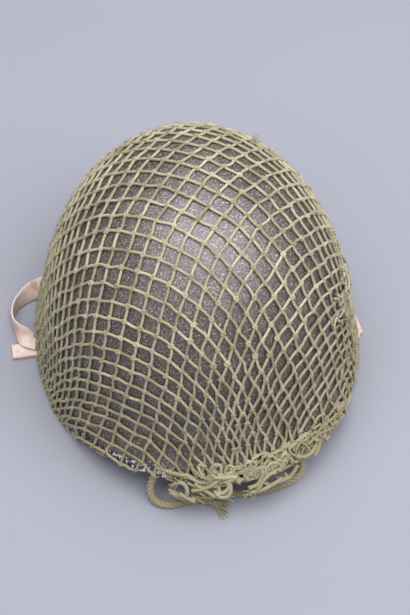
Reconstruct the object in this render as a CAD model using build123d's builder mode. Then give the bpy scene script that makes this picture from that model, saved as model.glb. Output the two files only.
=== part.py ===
from build123d import *
from math import cos, hypot, pi, sin, tan, radians
import os

os.makedirs("parts", exist_ok=True)

# Steel pot: the front of the helmet looks along -Y, the table is at z = 0
crown_height = 176.0
body_half_width = 113.0
body_front_reach = 122.0
body_rear_reach = 134.0
side_flare = 6.0
side_flare_height = 45.0
visor_flare = 18.0
visor_flare_height = 45.0
visor_flare_start = 24.0
rear_flare = 8.0
rear_flare_height = 40.0
steel_thickness = 1.1
crown_roundness_share = 2.1
wall_roundness_share = 2.3
level_shares = (-0.02, 0.04, 0.09, 0.15, 0.22, 0.30, 0.39, 0.49, 0.59, 0.68,
                0.76, 0.83, 0.89, 0.935, 0.968, 0.988, 0.9965, 0.9995)

# Rim line seen from the side: high over the visor, lowest at the temples and at the nape
rim_reach = 140.0
visor_lip_height = 30.0
rim_line_shares = ((-1.25, 1.02), (-1.05, 1.0), (-0.86, 0.85), (-0.66, 0.52), (-0.52, 0.22),
                   (-0.4, 0.075), (-0.19, 0.155), (0.0, 0.205), (0.36, 0.25), (0.72, 0.19),
                   (1.0, 0.075), (1.2, 0.03))
rim_channel_wall = 0.6
rim_channel_height = 7.0

# Camouflage net laid over the pot
net_clearance = 0.2
net_thickness = 1.8
hem_height = 5.0
hem_drop = 1.8
hem_turn_in = 1.9
net_seam_gap = 0.2
drawcord_diameter = 5.5
cord_corner_share = 0.45

# Chinstraps with their fixed loops on the liner
strap_width = 14.0
strap_thickness = 1.4
strap_lift = 0.15
strap_fold_gap = 0.1
bail_place = 8.0
bail_plate_width = 24.0
bail_plate_height = 9.0
bail_plate_thickness = 1.2
bail_plate_level = 15.0
bail_wire_diameter = 2.4
bail_opening_width = 17.0
bail_corner_radius = 2.5
bail_bar_level = 7.5
bail_bar_inset = 5.6
wire_clearance = 0.15
exit_play = 1.0
loop_exit_place = 58.0
long_strap_shares = ((-0.818, 0.057, 0.354, (0, 1, 0)),
                     (-0.846, 0.060, 0.320, (0, 1, 0)),
                     (-0.889, 0.079, 0.465, (0.1, 0.93, 0.3)),
                     (-0.927, 0.121, 0.545, (0.1, 0.55, 0.83)),
                     (-0.950, 0.175, 0.515, (0, 0.12, 0.99)),
                     (-0.953, 0.236, 0.510, (0, 0, 1)),
                     (-0.925, 0.296, 0.510, (-0.1, 0.1, 0.99)),
                     (-0.875, 0.343, 0.493, (-0.25, 0.33, 0.91)),
                     (-0.825, 0.379, 0.400, (-0.45, 0.6, 0.66)),
                     (-0.779, 0.407, 0.257, (-0.55, 0.78, 0.3)),
                     (-0.725, 0.432, 0.157, (-0.45, 0.89, 0.05)),
                     (-0.671, 0.446, 0.093, (-0.3, 0.95, 0)))
tip_length = 9.0
tip_wall = 0.6
running_end_width = 11.6
running_end_reach = 137.5
running_end_start = 104.0
running_end_place = 3.8
running_end_gap = 0.3
fold_tip_reach = 120.5
fold_tip_place = -18.0
short_strap_heading = -82.0
short_strap_run = 39.0
short_strap_return = 40.0
buckle_width = 24.0
buckle_depth = 18.0
buckle_wire = 2.4
buckle_corner_radius = 4.0
prong_wire = 1.6
prong_slot = 4.0
prong_eye_wall = 1.2
prong_eye_width = 2.0

# Fibre liner that carries the head harness
liner_side_gap = 4.5
liner_crown_gap = 0.3
liner_thickness = 2.0
liner_edge_lift = 8.0
webbing_thickness = 1.4
band_width = 25.0
band_level = 52.0
harness_clearance = 0.2
crown_strap_count = 6
crown_strap_width = 22.0
crown_strap_level = 63.0
crown_strap_turn = 12.0
crown_strap_spread = 4.0
crown_drop = 32.0
lace_ring_radius = 26.0
lace_diameter = 3.0
lace_drop = 0.35
sweatband_thickness = 2.0
sweatband_level = 28.0
sweatband_width = 32.0
clip_thickness = 0.6
clip_width = 14.0
clip_grip = 12.0
washer_width = 16.0
washer_height = 13.0
washer_thickness = 1.0
rivet_level = 69.5
rivet_shank_diameter = 3.4
rivet_head_diameter = 9.0
rivet_head_height = 1.2
rivet_head_taper = 30
rivet_clearance = 0.1
nape_strap_width = 18.0
nape_strap_level = 24.0
nape_strap_half_span = 62.0
eyelet_level = 92.0
eyelet_bore = 5.0
eyelet_wall = 0.5
eyelet_flange = 2.5
overrun = 60.0


def flare_left(level, start, height):
    climbed = max((level - start) / height, 0)
    return (1 - min(climbed, 1)) ** 2


# Half width, front reach and rear reach of a level section, grown outward or inward
def reaches(level, growth, crown_growth, flare_share=1.0):
    share = max(level, 0) / (crown_height + crown_growth)
    girth = (1 - min(share, 1) ** crown_roundness_share) ** (1 / wall_roundness_share)
    side = side_flare * flare_left(level, 0, side_flare_height) * flare_share
    front = visor_flare * flare_left(level, visor_flare_start, visor_flare_height) * flare_share
    rear = rear_flare * flare_left(level, 0, rear_flare_height) * flare_share
    return (girth * (body_half_width + growth) + side,
            girth * (body_front_reach + growth) + front,
            girth * (body_rear_reach + growth) + rear)


# Solid bowl: egg-shaped level sections lofted from below the rim to the crown
def bowl(growth, crown_growth=None, flare_share=1.0):
    crown = growth if crown_growth is None else crown_growth
    with BuildPart() as dome:
        for share in level_shares:
            level = share * (crown_height + crown)
            across, front, rear = reaches(level, growth, crown, flare_share)
            with BuildSketch(Plane.XY.offset(level)):
                with BuildLine():
                    EllipticalCenterArc((0, 0), across, front, start_angle=180, arc_size=180)
                    EllipticalCenterArc((0, 0), across, rear, start_angle=0, arc_size=180)
                make_face()
        loft()
    return dome.part


# Everything above the rim line, raised or lowered by a distance
def above_rim(lift):
    points = [(rim_reach * y, visor_lip_height * z + lift) for y, z in rim_line_shares]
    top = crown_height + overrun
    with BuildPart() as prism:
        with BuildSketch(Plane.YZ):
            with BuildLine():
                edge = Spline(*points)
                Polyline(edge @ 1, (points[-1][0], top), (points[0][0], top), edge @ 0)
            make_face()
        extrude(amount=body_half_width + overrun, both=True)
    return prism.part


# Level slice between two heights
def slab(low, high):
    with BuildPart() as slice_block:
        with BuildSketch(Plane.XY.offset(low)):
            Rectangle(2 * (rim_reach + overrun), 2 * (rim_reach + overrun))
        extrude(amount=high - low)
    return slice_block.part


# Upright block that reaches outward from the axis at a heading, for cutting pieces of a band
def sector(heading, width, low, high, start=0.0):
    with BuildPart() as block:
        with BuildSketch(Plane.XY.offset(low).rotated((0, 0, heading))):
            with Locations(((start + rim_reach + overrun) / 2, 0)):
                Rectangle(rim_reach + overrun - start, width)
        extrude(amount=high - low)
    return block.part


# Thin wall between two bowls
def wall(outer_growth, inner_growth, flare_share=1.0, outer_crown=None, inner_crown=None):
    outer = bowl(outer_growth, outer_crown, flare_share)
    inner = bowl(inner_growth, inner_crown, flare_share)
    with BuildPart() as thin:
        add(outer)
        add(inner, mode=Mode.SUBTRACT)
    return thin.part


pot_solid = bowl(0)
pot_hollow = bowl(-steel_thickness)
rim_cut = above_rim(0)

with BuildPart() as steel_shell:
    add(pot_solid)
    add(pot_hollow, mode=Mode.SUBTRACT)
    add(rim_cut, mode=Mode.INTERSECT)
steel_shell.part.label = "steel_shell"
export_step(steel_shell.part, "parts/steel_shell.step")

# Folded strip that covers the cut edge of the steel all round
channel_outer = bowl(rim_channel_wall)
channel_inner = bowl(-steel_thickness - rim_channel_wall)
channel_below = above_rim(-rim_channel_wall)
channel_above = above_rim(rim_channel_height)
with BuildPart() as rim_channel:
    add(channel_outer)
    add(channel_inner, mode=Mode.SUBTRACT)
    add(channel_below, mode=Mode.INTERSECT)
    add(channel_above, mode=Mode.SUBTRACT)
    add(steel_shell.part, mode=Mode.SUBTRACT)
rim_channel.part.label = "rim_channel"
export_step(rim_channel.part, "parts/rim_channel.step")


# Gathered edge of the net, rolled under the rim and back up inside it, with gaps for the straps
net_inner_growth = rim_channel_wall + net_clearance
net_outer_growth = net_inner_growth + net_thickness
hem_inner_growth = -steel_thickness - rim_channel_wall - net_clearance - hem_turn_in
net_solid = bowl(net_outer_growth)
net_hollow = bowl(net_inner_growth)
hem_hollow = bowl(hem_inner_growth)
rim_core_inner = bowl(-steel_thickness - rim_channel_wall - net_clearance)
hem_underside = above_rim(-rim_channel_wall - net_clearance - hem_drop)
hem_core_floor = above_rim(-rim_channel_wall - net_clearance)
hem_top = above_rim(hem_height)
hem_inner_top = above_rim(hem_drop)
steel_half_width = reaches(bail_bar_level, -steel_thickness, -steel_thickness)[0]
bail_bar_x = steel_half_width - bail_bar_inset
strap_wrap_radius = bail_wire_diameter / 2 + wire_clearance + strap_thickness
strap_exit_height = bail_bar_level - strap_wrap_radius + strap_thickness


def exit_block(side, low_y, high_y, height):
    with BuildPart() as block:
        with BuildSketch(Plane.XY.offset(-overrun)):
            with Locations((side * rim_reach, (low_y + high_y) / 2)):
                Rectangle(rim_reach, high_y - low_y)
        extrude(amount=overrun + height)
    return block.part


bail_exit_low = bail_place - strap_width / 2 - 4 * exit_play
bail_exit_high = bail_place + strap_width / 2 + 3 * exit_play
loop_exit_low = loop_exit_place - strap_width / 2 - 3 * exit_play
loop_exit_high = loop_exit_place + strap_width / 2 + 3 * exit_play
fold_exit_low = fold_tip_place - strap_width - 4 * exit_play
sleeve_pockets = []
for side in (-1, 1):
    with BuildPart() as pocket:
        with BuildSketch(Plane.XY.offset(-overrun)):
            with Locations((side * bail_bar_x, bail_place)):
                Rectangle(2 * (strap_wrap_radius + exit_play), strap_width + 2 * exit_play)
        extrude(amount=overrun + bail_bar_level + strap_wrap_radius + exit_play)
    sleeve_pockets.append(pocket.part)
strap_exits = [exit_block(-1, bail_exit_low, bail_exit_high, strap_exit_height + 2 * exit_play),
               exit_block(-1, loop_exit_low, loop_exit_high, strap_exit_height + exit_play),
               exit_block(1, fold_exit_low, bail_exit_high, 3 * strap_thickness)]

with BuildPart() as hem_core:
    add(net_hollow)
    add(rim_core_inner, mode=Mode.SUBTRACT)
    add(hem_core_floor, mode=Mode.INTERSECT)

with BuildPart() as hem_inside:
    add(rim_core_inner)
    add(hem_inner_top, mode=Mode.INTERSECT)

with BuildPart() as net_hem:
    add(net_solid)
    add(hem_hollow, mode=Mode.SUBTRACT)
    add(hem_underside, mode=Mode.INTERSECT)
    add(hem_top, mode=Mode.SUBTRACT)
    add(hem_core.part, mode=Mode.SUBTRACT)
    add(hem_inside.part, mode=Mode.SUBTRACT)
    add(strap_exits + sleeve_pockets, mode=Mode.SUBTRACT)
    split(bisect_by=Plane.XY, keep=Keep.TOP)
net_hem.part.label = "net_hem"
export_step(net_hem.part, "parts/net_hem.step")


# Skin of the net between its hem and the crown
hem_cut = above_rim(hem_height + net_seam_gap)
with BuildPart() as camouflage_net:
    add(net_solid)
    add(net_hollow, mode=Mode.SUBTRACT)
    add(hem_cut, mode=Mode.INTERSECT)
camouflage_net.part.label = "camouflage_net"
export_step(camouflage_net.part, "parts/camouflage_net.step")


# Free ends of the drawcord, which leave the hem under the visor and lie on the table
left_cord_route = ((-50, -121.2, 23.7), (-52, -122.5, 17.5), (-54, -125.5, 10.8),
                   (-53.6, -130, 5.8), (-50, -134.2, 3.3), (-44, -136.8, 2.85),
                   (-37.5, -137.3, 2.8), (-31, -136.0, 2.85), (-24.5, -135.3, 2.8),
                   (-17.8, -136.5, 2.85), (-11.5, -139.3, 2.8), (-6, -143, 2.85))
right_cord_route = ((52, -120.3, 23.6), (54.5, -121.5, 17.5), (56, -124, 10.8),
                    (54.5, -128, 5.8), (49.5, -131.2, 3.3), (42.5, -133.6, 2.85),
                    (34.5, -135.4, 2.8), (26, -136.6, 2.85), (17, -136.8, 2.8),
                    (8.5, -136.1, 2.85), (1, -135, 4.2), (-5.5, -134.2, 8.2),
                    (-10.2, -134, 13.8), (-13, -134.3, 19.8), (-14, -134.7, 25.9))


def cord_radii(route):
    points = [Vector(*point) for point in route]
    radii = []
    for before, corner, after in zip(points, points[1:], points[2:]):
        run_in = corner - before
        run_out = after - corner
        half_turn = radians(run_in.get_angle(run_out)) / 2
        radii.append(cord_corner_share * min(run_in.length, run_out.length) / tan(half_turn))
    return radii


with BuildPart() as drawcord_left:
    with BuildLine() as left_line:
        FilletPolyline(*left_cord_route, radius=cord_radii(left_cord_route))
    with BuildSketch(Plane(origin=left_line.line @ 0, z_dir=left_line.line % 0)):
        Circle(drawcord_diameter / 2)
    sweep()
drawcord_left.part.label = "drawcord_left"
export_step(drawcord_left.part, "parts/drawcord_left.step")

with BuildPart() as drawcord_right:
    with BuildLine() as right_line:
        FilletPolyline(*right_cord_route, radius=cord_radii(right_cord_route))
    with BuildSketch(Plane(origin=right_line.line @ 0, z_dir=right_line.line % 0)):
        Circle(drawcord_diameter / 2)
    sweep()
drawcord_right.part.label = "drawcord_right"
export_step(drawcord_right.part, "parts/drawcord_right.step")

cord_area = pi * (drawcord_diameter / 2) ** 2
for name, route, line, cord in (("left", left_cord_route, left_line, drawcord_left),
                                ("right", right_cord_route, right_line, drawcord_right)):
    length = sum(edge.length for edge in line.edges())
    print("cord", name, "length", round(length, 1),
          "volume over section times length", round(cord.part.volume / cord_area / length, 4),
          "radii", [round(radius, 1) for radius in cord_radii(route)])


# Fixed wire loops on curved plates that sit on the outside of the liner
liner_growth = -steel_thickness - liner_side_gap
liner_crown = -steel_thickness - liner_crown_gap
plate_growth = liner_growth + bail_plate_thickness
plate_wall = wall(plate_growth, liner_growth + strap_fold_gap / 2, 0.0, liner_crown, liner_crown)
plate_mid_level = bail_plate_level + bail_plate_height / 2
leg_top_x = reaches(plate_mid_level, plate_growth, liner_crown, 0.0)[0] + bail_wire_diameter / 2 + wire_clearance
for name, side in (("bail_right", -1), ("bail_left", 1)):
    with BuildPart() as plate_block:
        with BuildSketch(Plane.XY.offset(bail_plate_level)):
            with Locations((side * leg_top_x, bail_place)):
                RectangleRounded(overrun, bail_plate_width, bail_corner_radius)
        extrude(amount=bail_plate_height)
    with BuildPart() as plate:
        add(plate_wall)
        add(plate_block.part, mode=Mode.INTERSECT)
    plate.part.label = name.replace("bail", "bail_plate")
    export_step(plate.part, "parts/" + plate.part.label + ".step")
    half_span = (bail_opening_width + bail_wire_diameter) / 2
    with BuildPart() as loop:
        with BuildLine() as loop_line:
            FilletPolyline((side * leg_top_x, bail_place - half_span, plate_mid_level),
                           (side * bail_bar_x, bail_place - half_span, bail_bar_level),
                           (side * bail_bar_x, bail_place + half_span, bail_bar_level),
                           (side * leg_top_x, bail_place + half_span, plate_mid_level),
                           radius=bail_corner_radius)
        with BuildSketch(Plane(origin=loop_line.line @ 0, z_dir=loop_line.line % 0)):
            Circle(bail_wire_diameter / 2)
        sweep()
    loop.part.label = name
    export_step(loop.part, "parts/" + name + ".step")


# Flat strap through stations: centre point and the direction of its width
def strap_band(stations, width, thickness):
    points = [Vector(*point) for point, across in stations]
    with BuildPart() as band:
        for number, (point, across) in enumerate(stations):
            before = points[max(number - 1, 0)]
            after = points[min(number + 1, len(points) - 1)]
            along = (after - before).normalized()
            side_way = Vector(*across)
            side_way = side_way - along * side_way.dot(along)
            with BuildSketch(Plane(origin=points[number], x_dir=side_way, z_dir=along)):
                Rectangle(width, thickness)
        loft()
    return band.part


# Sleeve of strap sewn round a bar that lies along Y
def strap_sleeve(x, z, wire, low_y, high_y):
    with BuildPart() as sleeve:
        with BuildSketch(Plane.XZ.offset(-low_y)):
            with Locations((x, z)):
                Circle(wire / 2 + wire_clearance + strap_thickness)
                Circle(wire / 2 + wire_clearance, mode=Mode.SUBTRACT)
        extrude(amount=low_y - high_y)
    return sleeve.part


wrap_centre_z = bail_bar_level - strap_wrap_radius + strap_thickness / 2 - wire_clearance
first_station = ((-bail_bar_x + strap_thickness / 2, bail_place, wrap_centre_z), (0, 1, 0))
long_stations = [first_station] + [((rim_reach * x, rim_reach * y, strap_width * z), across)
                                   for x, y, z, across in long_strap_shares]
long_band = strap_band(long_stations, strap_width, strap_thickness)
long_sleeve = strap_sleeve(-bail_bar_x, bail_bar_level, bail_wire_diameter,
                           bail_place - strap_width / 2, bail_place + strap_width / 2)
with BuildPart() as chinstrap_long:
    add(long_sleeve)
    add(long_band)
chinstrap_long.part.label = "chinstrap_long"
export_step(chinstrap_long.part, "parts/chinstrap_long.step")

# Metal tip folded over the long strap's end
end_point = Vector(*long_stations[-1][0])
end_along = (end_point - Vector(*long_stations[-2][0])).normalized()
end_across = Vector(*long_stations[-1][1])
end_across = (end_across - end_along * end_across.dot(end_along)).normalized()
tip_plane = Plane(origin=end_point - end_along * (tip_length - tip_wall), x_dir=end_across, z_dir=end_along)
with BuildPart() as chinstrap_tip:
    with BuildSketch(tip_plane):
        Rectangle(strap_width + 2 * tip_wall, strap_thickness + 2 * (tip_wall - strap_fold_gap / 2))
    extrude(amount=tip_length + tip_wall)
    add(long_band, mode=Mode.SUBTRACT)
chinstrap_tip.part.label = "chinstrap_tip"
export_step(chinstrap_tip.part, "parts/chinstrap_tip.step")

# Doubled running end of the strap, which shows below the strap at its exit
running_height = 2 * strap_thickness + running_end_gap
running_length = running_end_reach - running_end_start
with BuildPart() as chinstrap_running_end:
    with BuildSketch(Plane.XZ.offset(-running_end_place + running_end_width / 2)):
        with Locations((-(running_end_reach + running_end_start) / 2, strap_lift + running_height / 2)):
            SlotOverall(running_length, running_height)
            with Locations((strap_thickness + running_height / 2, 0)):
                SlotOverall(running_length, running_end_gap, mode=Mode.SUBTRACT)
    extrude(amount=-running_end_width)
chinstrap_running_end.part.label = "chinstrap_running_end"
export_step(chinstrap_running_end.part, "parts/chinstrap_running_end.step")

# Short strap: sewn round its loop, folded forward under itself and folded again at the rim
layer_one = strap_lift
layer_two = layer_one + strap_thickness + strap_fold_gap
heading_along = Vector(cos(radians(short_strap_heading)), sin(radians(short_strap_heading)))
heading_across = Vector(-heading_along.Y, heading_along.X)
fold_heading = radians(short_strap_heading - 45)
fold_along = Vector(cos(fold_heading), sin(fold_heading))
return_heading = radians(short_strap_heading - 90)
return_along = Vector(cos(return_heading), sin(return_heading))
fold_tip = Vector(fold_tip_reach, fold_tip_place)
fold_inner = fold_tip + fold_along * strap_width * 2 ** 0.5
forward_outer = fold_tip - heading_along * short_strap_run
forward_inner = fold_inner - heading_along * (short_strap_run + strap_width)
return_outer = fold_tip + return_along * short_strap_return
return_inner = fold_inner + return_along * (short_strap_return - strap_width)
buckle_bar = (return_outer + return_inner) / 2 + return_along * strap_thickness
buckle_bar_z = layer_one + buckle_wire / 2 + wire_clearance + strap_thickness
buckle_plane = Plane(origin=(buckle_bar.X, buckle_bar.Y, buckle_bar_z),
                     x_dir=return_along, z_dir=(0, 0, 1))
bar_plane = Plane(origin=buckle_plane.origin, x_dir=return_along, z_dir=return_along.cross(Vector(0, 0, 1)))
short_sleeve = strap_sleeve(bail_bar_x, bail_bar_level, bail_wire_diameter,
                            bail_place - strap_width / 2, bail_place + strap_width / 2)
with BuildPart() as chinstrap_short:
    with BuildSketch(Plane.XY.offset(layer_two)):
        Polygon((forward_outer.X, forward_outer.Y), (fold_tip.X, fold_tip.Y),
                (fold_inner.X, fold_inner.Y), (forward_inner.X, forward_inner.Y), align=None)
    extrude(amount=strap_thickness)
    with BuildSketch(Plane.XY.offset(layer_one)):
        Polygon((fold_tip.X, fold_tip.Y), (fold_inner.X, fold_inner.Y),
                (return_inner.X, return_inner.Y), (return_outer.X, return_outer.Y), align=None)
    extrude(amount=strap_thickness)
    with BuildSketch(Plane.XY.offset(layer_one)):
        with BuildLine():
            fold_line = Polyline((fold_tip.X, fold_tip.Y), (fold_inner.X, fold_inner.Y))
            offset(fold_line, amount=strap_thickness, side=Side.RIGHT)
        make_face()
    extrude(amount=2 * strap_thickness + strap_fold_gap)
    with BuildSketch(Plane.XY.offset(layer_two)):
        with Locations((bail_bar_x, bail_place)):
            Rectangle(2 * strap_thickness, strap_width)
    extrude(amount=bail_bar_level - layer_two - bail_wire_diameter / 2 - wire_clearance)
    add(short_sleeve)
    with BuildSketch(bar_plane):
        Circle(buckle_wire / 2 + wire_clearance + strap_thickness)
        Circle(buckle_wire / 2 + wire_clearance, mode=Mode.SUBTRACT)
    extrude(amount=strap_width / 2, both=True)
    with BuildSketch(buckle_plane):
        Rectangle(2 * (strap_wrap_radius + exit_play), prong_slot)
    extrude(amount=strap_width, both=True, mode=Mode.SUBTRACT)
chinstrap_short.part.label = "chinstrap_short"
export_step(chinstrap_short.part, "parts/chinstrap_short.step")
print("short strap solids", len(chinstrap_short.part.solids()))

# Buckle: a closed wire frame whose bar the strap holds, and a prong that turns on the bar
half_frame = buckle_width / 2
with BuildPart() as chinstrap_buckle:
    with BuildLine(buckle_plane) as frame_line:
        FilletPolyline((0, -half_frame), (0, half_frame), (buckle_depth, half_frame),
                       (buckle_depth, -half_frame), close=True, radius=buckle_corner_radius)
    frame_edge = frame_line.edges().sort_by(Axis.X)[0]
    with BuildSketch(Plane(origin=frame_edge @ 0, z_dir=frame_edge % 0)):
        Circle(buckle_wire / 2)
    sweep(path=frame_line.wires()[0])
chinstrap_buckle.part.label = "chinstrap_buckle"
export_step(chinstrap_buckle.part, "parts/chinstrap_buckle.step")

prong_rest = buckle_wire / 2 + wire_clearance + prong_eye_wall
with BuildPart() as buckle_prong:
    with BuildSketch(bar_plane):
        Circle(buckle_wire / 2 + wire_clearance + prong_eye_wall)
        Circle(buckle_wire / 2 + wire_clearance, mode=Mode.SUBTRACT)
    extrude(amount=prong_eye_width / 2, both=True)
    with BuildLine(bar_plane) as prong_line:
        Line((0, prong_rest), (buckle_depth + buckle_wire / 2, prong_rest))
    with BuildSketch(Plane(origin=prong_line.line @ 0, z_dir=prong_line.line % 0)):
        Circle(prong_wire / 2)
    sweep()
buckle_prong.part.label = "buckle_prong"
export_step(buckle_prong.part, "parts/buckle_prong.step")


# Fibre liner and the head harness inside it
liner_inner_growth = liner_growth - liner_thickness
liner_inner_crown = liner_crown - liner_thickness
liner_edge = above_rim(liner_edge_lift)
stud_headings = [65, 115]
rivet_headings = [30 + 60 * number for number in range(crown_strap_count)]
strap_headings = [60 * number for number in range(crown_strap_count)]


# Distance from the axis to a grown surface at a heading and level
def reach_along(heading, level, growth, crown, flare_share=0.0):
    side, front, rear = reaches(level, growth, crown, flare_share)
    end = front if sin(radians(heading)) < 0 else rear
    return 1 / hypot(cos(radians(heading)) / side, sin(radians(heading)) / end)


# Plane on the liner's outer surface that looks straight out of the wall
def wall_plane(heading, level):
    def place(turn, rise):
        reach = reach_along(heading + turn, level + rise, liner_growth, liner_crown)
        angle = radians(heading + turn)
        return Vector(reach * cos(angle), reach * sin(angle), level + rise)

    along = place(1, 0) - place(-1, 0)
    upward = place(0, liner_thickness) - place(0, -liner_thickness)
    return Plane(origin=place(0, 0), x_dir=along, z_dir=along.cross(upward))


# Bore through the wall and what lies against it
def wall_bore(heading, level, diameter):
    with BuildPart() as bore:
        with BuildSketch(wall_plane(heading, level)):
            Circle(diameter / 2)
        extrude(amount=bore_reach, both=True)
    return bore.part


bore_reach = 4 * liner_thickness + rivet_head_diameter
rivet_bore = rivet_shank_diameter + 2 * rivet_clearance
nape_middle = nape_strap_level + nape_strap_width / 2
rivet_bores = [wall_bore(heading, rivet_level, rivet_bore) for heading in rivet_headings]
stud_bores = [wall_bore(heading, nape_middle, rivet_bore) for heading in stud_headings]
eyelet_hole = wall_bore(-90, eyelet_level, eyelet_bore + 2 * eyelet_wall + 2 * rivet_clearance)
liner_wall = wall(liner_growth, liner_inner_growth, 0.0, liner_crown, liner_inner_crown)
with BuildPart() as liner_shell:
    add(liner_wall)
    add(liner_edge, mode=Mode.INTERSECT)
    add(rivet_bores + stud_bores + [eyelet_hole], mode=Mode.SUBTRACT)
liner_shell.part.label = "liner_shell"
export_step(liner_shell.part, "parts/liner_shell.step")

# Brass eyelet at the liner's brow
eyelet_plane = wall_plane(-90, eyelet_level)
with BuildPart() as brow_eyelet:
    with BuildSketch(eyelet_plane.offset(-liner_thickness - eyelet_flange)):
        Circle(eyelet_bore / 2 + eyelet_wall)
        Circle(eyelet_bore / 2, mode=Mode.SUBTRACT)
    extrude(amount=liner_thickness + eyelet_flange + rivet_clearance + eyelet_wall)
    with BuildSketch(eyelet_plane.offset(rivet_clearance)):
        Circle(eyelet_bore / 2 + eyelet_flange)
        Circle(eyelet_bore / 2, mode=Mode.SUBTRACT)
    extrude(amount=eyelet_wall)
brow_eyelet.part.label = "brow_eyelet"
export_step(brow_eyelet.part, "parts/brow_eyelet.step")

# Webbing band riveted round the inside of the liner
band_growth = liner_inner_growth - harness_clearance
band_inner_growth = band_growth - webbing_thickness
band_slab = slab(band_level, band_level + band_width)
band_wall = wall(band_growth, band_inner_growth, 0.0)
with BuildPart() as suspension_band:
    add(band_wall)
    add(band_slab, mode=Mode.INTERSECT)
    add(rivet_bores, mode=Mode.SUBTRACT)
suspension_band.part.label = "suspension_band"
export_step(suspension_band.part, "parts/suspension_band.step")

# Six straps lie against the band, then rise to the lace at the crown
strap_growth = band_inner_growth - harness_clearance
rise_growth = strap_growth + crown_strap_spread
turn_level = crown_strap_level + crown_strap_turn
foot_wall = wall(strap_growth, strap_growth - webbing_thickness, 0.0)
rise_wall = wall(rise_growth, rise_growth - webbing_thickness, 0.0,
                 -crown_drop, -crown_drop - webbing_thickness)
for number, heading in enumerate(strap_headings, start=1):
    foot_block = sector(heading, crown_strap_width, crown_strap_level, turn_level)
    rise_block = sector(heading, crown_strap_width, turn_level, crown_height, lace_ring_radius)
    with BuildPart() as strap_foot:
        add(foot_wall)
        add(foot_block, mode=Mode.INTERSECT)
    with BuildPart() as crown_strap:
        add(rise_wall)
        add(rise_block, mode=Mode.INTERSECT)
        add(strap_foot.part)
    crown_strap.part.label = "crown_strap_" + str(number)
    export_step(crown_strap.part, "parts/crown_strap_" + str(number) + ".step")

# Lace drawn through the straps' ends
rise_inner_growth = rise_growth - webbing_thickness
rise_inner_height = crown_height - crown_drop - webbing_thickness
lace_share = (lace_ring_radius + lace_diameter) / (body_half_width + rise_inner_growth)
lace_level_share = (1 - lace_share ** wall_roundness_share) ** (1 / crown_roundness_share)
lace_level = rise_inner_height * lace_level_share - lace_diameter / 2 - lace_drop
lace_across = lace_share * (body_half_width + rise_inner_growth)
lace_front = lace_share * (body_front_reach + rise_inner_growth)
lace_rear = lace_share * (body_rear_reach + rise_inner_growth)
with BuildPart() as crown_lace:
    with BuildLine(Plane.XY.offset(lace_level)) as lace_line:
        EllipticalCenterArc((0, 0), lace_across, lace_front, start_angle=180, arc_size=180)
        EllipticalCenterArc((0, 0), lace_across, lace_rear, start_angle=0, arc_size=180)
    with BuildSketch(Plane.XZ):
        with Locations((lace_across, lace_level)):
            Circle(lace_diameter / 2)
    sweep(path=lace_line.wires()[0])
crown_lace.part.label = "crown_lace"
export_step(crown_lace.part, "parts/crown_lace.step")

# Washers that hold the band, and the rivets through band and liner
washer_growth = band_inner_growth - strap_fold_gap
washer_wall = wall(washer_growth, washer_growth - washer_thickness, 0.0)
washer_low = rivet_level - washer_height / 2
washers = []
for heading in rivet_headings:
    washer_block = sector(heading, washer_width, washer_low, washer_low + washer_height)
    with BuildPart() as washer:
        add(washer_wall)
        add(washer_block, mode=Mode.INTERSECT)
        add(rivet_bores, mode=Mode.SUBTRACT)
    washers.append(washer.part)
with BuildPart() as harness_washers:
    add(washers)
harness_washers.part.label = "harness_washers"
export_step(harness_washers.part, "parts/harness_washers.step")

# Head band of leather clipped to the webbing band
sweat_growth = band_inner_growth - 2 * strap_fold_gap - clip_thickness - harness_clearance
sweat_inner_growth = sweat_growth - sweatband_thickness
sweat_slab = slab(sweatband_level, sweatband_level + sweatband_width)
sweat_wall = wall(sweat_growth, sweat_inner_growth, 0.0)
with BuildPart() as sweatband:
    add(sweat_wall)
    add(sweat_slab, mode=Mode.INTERSECT)
sweatband.part.label = "sweatband"
export_step(sweatband.part, "parts/sweatband.step")

# Spring clips folded over the sweatband's top edge
clip_outer_growth = band_inner_growth - strap_fold_gap
clip_inner_growth = sweat_inner_growth - harness_clearance - clip_thickness
clip_top = sweatband_level + sweatband_width + harness_clearance
clip_solid = wall(clip_outer_growth, clip_inner_growth, 0.0)
clip_slot = wall(clip_outer_growth - clip_thickness, clip_inner_growth + clip_thickness, 0.0)
slot_slab = slab(-overrun, clip_top)
with BuildPart() as clip_gap:
    add(clip_slot)
    add(slot_slab, mode=Mode.INTERSECT)
clips = []
for heading in strap_headings:
    clip_block = sector(heading, clip_width, clip_top - clip_grip, clip_top + clip_thickness)
    with BuildPart() as clip:
        add(clip_solid)
        add(clip_block, mode=Mode.INTERSECT)
        add(clip_gap.part, mode=Mode.SUBTRACT)
    clips.append(clip.part)
with BuildPart() as sweatband_clips:
    add(clips)
sweatband_clips.part.label = "sweatband_clips"
export_step(sweatband_clips.part, "parts/sweatband_clips.step")

# Rivets: domed head outside the liner, shank through liner, band and washer
rivet_grip = (liner_growth - washer_growth + washer_thickness) + rivet_head_height
with BuildPart() as harness_rivets:
    for heading in rivet_headings:
        plane = wall_plane(heading, rivet_level)
        with BuildSketch(plane.offset(-rivet_grip)):
            Circle(rivet_shank_diameter / 2)
        extrude(amount=rivet_grip + rivet_clearance)
        with BuildSketch(plane.offset(rivet_clearance)):
            Circle(rivet_head_diameter / 2)
        extrude(amount=rivet_head_height, taper=rivet_head_taper)
harness_rivets.part.label = "harness_rivets"
export_step(harness_rivets.part, "parts/harness_rivets.step")

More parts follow.
